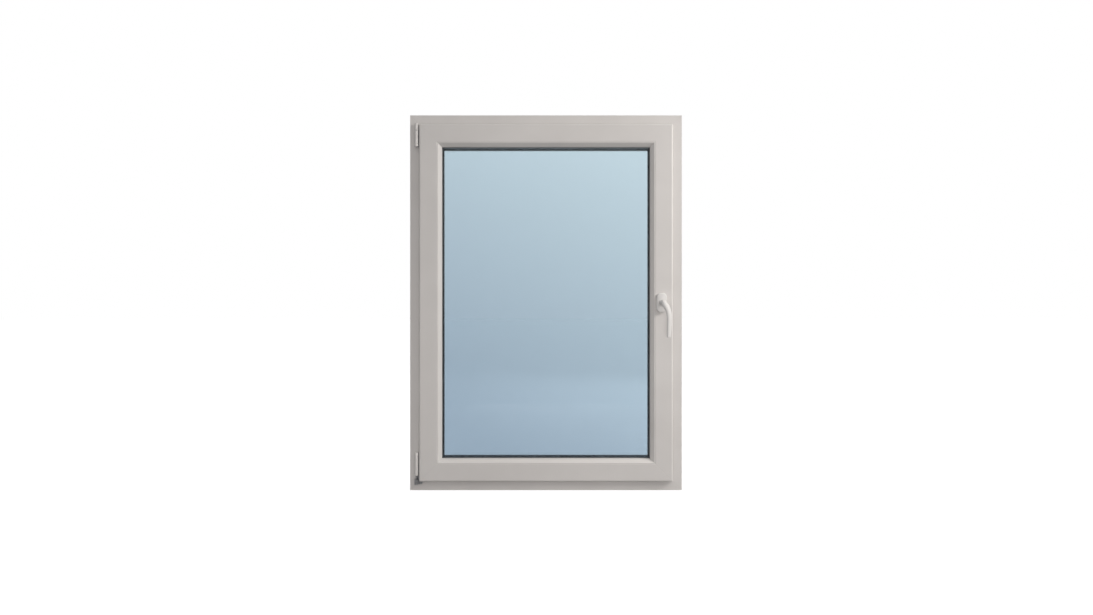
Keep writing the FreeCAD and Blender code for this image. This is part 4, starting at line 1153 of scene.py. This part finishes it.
@dataclass
class Studio:
    """The floor, the lights and the camera."""

    distance: float = 2.1
    view_width: float = 4.024
    camera_height: float = 0.6727
    aside: float = 0.002
    film_width: float = 36.0
    ambient: float = 0.40
    background: float = 1.0
    floor_side: float = 60.0
    floor_drop: float = 0.6 * MM
    floor_glow: float = 0.9
    floor_dark: Colour = (0.25, 0.25, 0.25)
    floor_pale: Colour = (0.27, 0.27, 0.27)

    def build(self) -> None:
        """Build the whole studio."""
        self.floor()
        self.world()
        for lamp in LAMPS:
            self.hang(lamp)
        self.camera()

    def floor(self) -> None:
        """Lay a pale floor that looks as white as the room behind it."""
        fresh()
        bpy.ops.mesh.primitive_plane_add(size=self.floor_side, location=(0, 0, -self.floor_drop))
        plane = bpy.context.object
        plane.name = "floor"
        desk = Desk("floor")
        share = desk.spread(desk.noise(3, 3), 0, 1)
        desk.drive("Base Color", desk.blend(share, self.floor_dark, self.floor_pale))
        desk.fix(roughness=0.9, specular_ior_level=0.2, emission_color=(1.0, 1.0, 1.0))
        desk.drive("Emission Strength", self.seen_directly(desk.tree, 0.0, self.floor_glow))
        plane.data.materials.append(desk.material)

    def seen_directly(self, tree: bpy.types.NodeTree, lighting: float, seen: float) -> bpy.types.NodeSocket:
        """A brightness that differs between what the lens sees and what lights the window.

        Args:
            tree: the node tree to work in.
            lighting: the brightness as a light.
            seen: the brightness that the lens sees, straight or through the glass.

        Returns:
            The socket that gives the brightness.
        """
        path = tree.nodes.new("ShaderNodeLightPath")
        either = tree.nodes.new("ShaderNodeMath")
        either.operation = "MAXIMUM"
        tree.links.new(path.outputs["Is Camera Ray"], either.inputs[0])
        tree.links.new(path.outputs["Is Transmission Ray"], either.inputs[1])
        level = tree.nodes.new("ShaderNodeMapRange")
        level.inputs["To Min"].default_value = lighting
        level.inputs["To Max"].default_value = seen
        tree.links.new(either.outputs[0], level.inputs["Value"])
        return level.outputs["Result"]

    def world(self) -> None:
        """Fill the room with even light in front of a white background."""
        world = bpy.data.worlds.new("studio")
        bpy.context.scene.world = world
        world.use_nodes = True
        background = world.node_tree.nodes["Background"]
        background.inputs["Color"].default_value = (1.0, 1.0, 1.0, 1.0)
        level = self.seen_directly(world.node_tree, self.ambient, self.background)
        world.node_tree.links.new(level, background.inputs["Strength"])

    def hang(self, lamp: Lamp) -> None:
        """Hang a light where neither the lens nor the glass shows it.

        Args:
            lamp: the light.
        """
        light = bpy.data.lights.new(lamp.name, "AREA")
        light.size = lamp.side
        light.energy = lamp.power
        light.color = lamp.colour
        holder = bpy.data.objects.new(lamp.name, light)
        holder.location = lamp.place
        heading = Vector(lamp.aim) - Vector(lamp.place)
        holder.rotation_euler = heading.to_track_quat("-Z", "Y").to_euler()
        holder.visible_glossy = False
        holder.visible_transmission = False
        bpy.context.scene.collection.objects.link(holder)

    def camera(self) -> None:
        """Stand the camera square to the room face of the frame."""
        lens = bpy.data.cameras.new("camera")
        lens.sensor_width = self.film_width
        lens.lens = self.film_width * self.distance / self.view_width
        holder = bpy.data.objects.new("camera", lens)
        holder.location = (self.aside, FRAME_LOW.y - self.distance, self.camera_height)
        holder.rotation_euler = (math.pi / 2, 0, 0)
        bpy.context.scene.collection.objects.link(holder)
        bpy.context.scene.camera = holder
        bpy.context.scene.view_settings.view_transform = "Standard"


# --- the window -------------------------------------------------------------------------------


class Window:
    """The whole window: the dressed CAD nodes and the pieces modelled here."""

    def __init__(self) -> None:
        """Make the finishes."""
        self.palette = Palette()

    def dress_nodes(self) -> None:
        """Give every CAD node that stays visible its finish."""
        palette = self.palette
        dress(palette.upright, "frame_jamb_hinge", "frame_jamb_lock", "sash_stile_hinge", "sash_stile_lock",
              "bead_hinge", "bead_lock")
        dress(palette.level, "frame_head", "frame_sill", "sash_head", "sash_sill", "bead_head", "bead_sill")
        dress(palette.seal, "frame_gasket", "sash_gasket", "bead_gasket", "outer_glazing_gasket")
        dress(palette.sealant, "edge_sealant")
        dress(palette.inner_glass, "pane_inner")
        dress(palette.outer_glass, "pane_outer")
        dress(palette.spacer, "spacer_bar")
        dress(palette.blocks, "glazing_blocks")
        dress(palette.base, "rosette_base")
        dress(palette.galvanised, "frame_reinforcement", "sash_reinforcement")
        dress(palette.zinc_upright, "stay_bearing", "pivot_rest", "sash_hinge", "faceplate_lock",
              "lock_keepers", "corner_casings", "gearbox_case", "lock_rail")
        dress(palette.zinc_level, "stay_arm", "faceplate_head", "faceplate_sill", "head_keepers",
              "sill_keepers", "head_rail", "sill_rail")
        dress(palette.turned, "pivot_pin", "stay_hinge_pin", "stay_slide_pin", "gearbox_pinion", "spindle",
              "lock_cams", "head_cams", "sill_cams")

    def build(self) -> None:
        """Dress the nodes and build the pieces."""
        self.dress_nodes()
        pieces = (
            Lever(),
            Rosette(),
            Collar(),
            HingeSleeve("stay_bearing_cover", "frame", roofed=False),
            HingeSleeve("stay_arm_cap", "stay_arm", roofed=True),
            HingeSleeve("sash_hinge_cover", "sash", roofed=True),
            ScrewSet("keeper_screws", Facing.INWARD, "frame"),
            ScrewSet("stay_bearing_screws", Facing.INWARD, "frame"),
            ScrewSet("pivot_rest_screws", Facing.INWARD, "frame"),
            ScrewSet("sash_hinge_screws", Facing.OUTWARD),
            ScrewSet("faceplate_screws", Facing.OUTWARD),
            ScrewSet("handle_screws", Facing.ROOM),
            DrainHoods(),
        )
        for piece in pieces:
            piece.build(self.palette)


def main() -> None:
    """Build the window and its studio."""
    Window().build()
    Studio().build()


if __name__ == "__main__":
    main()
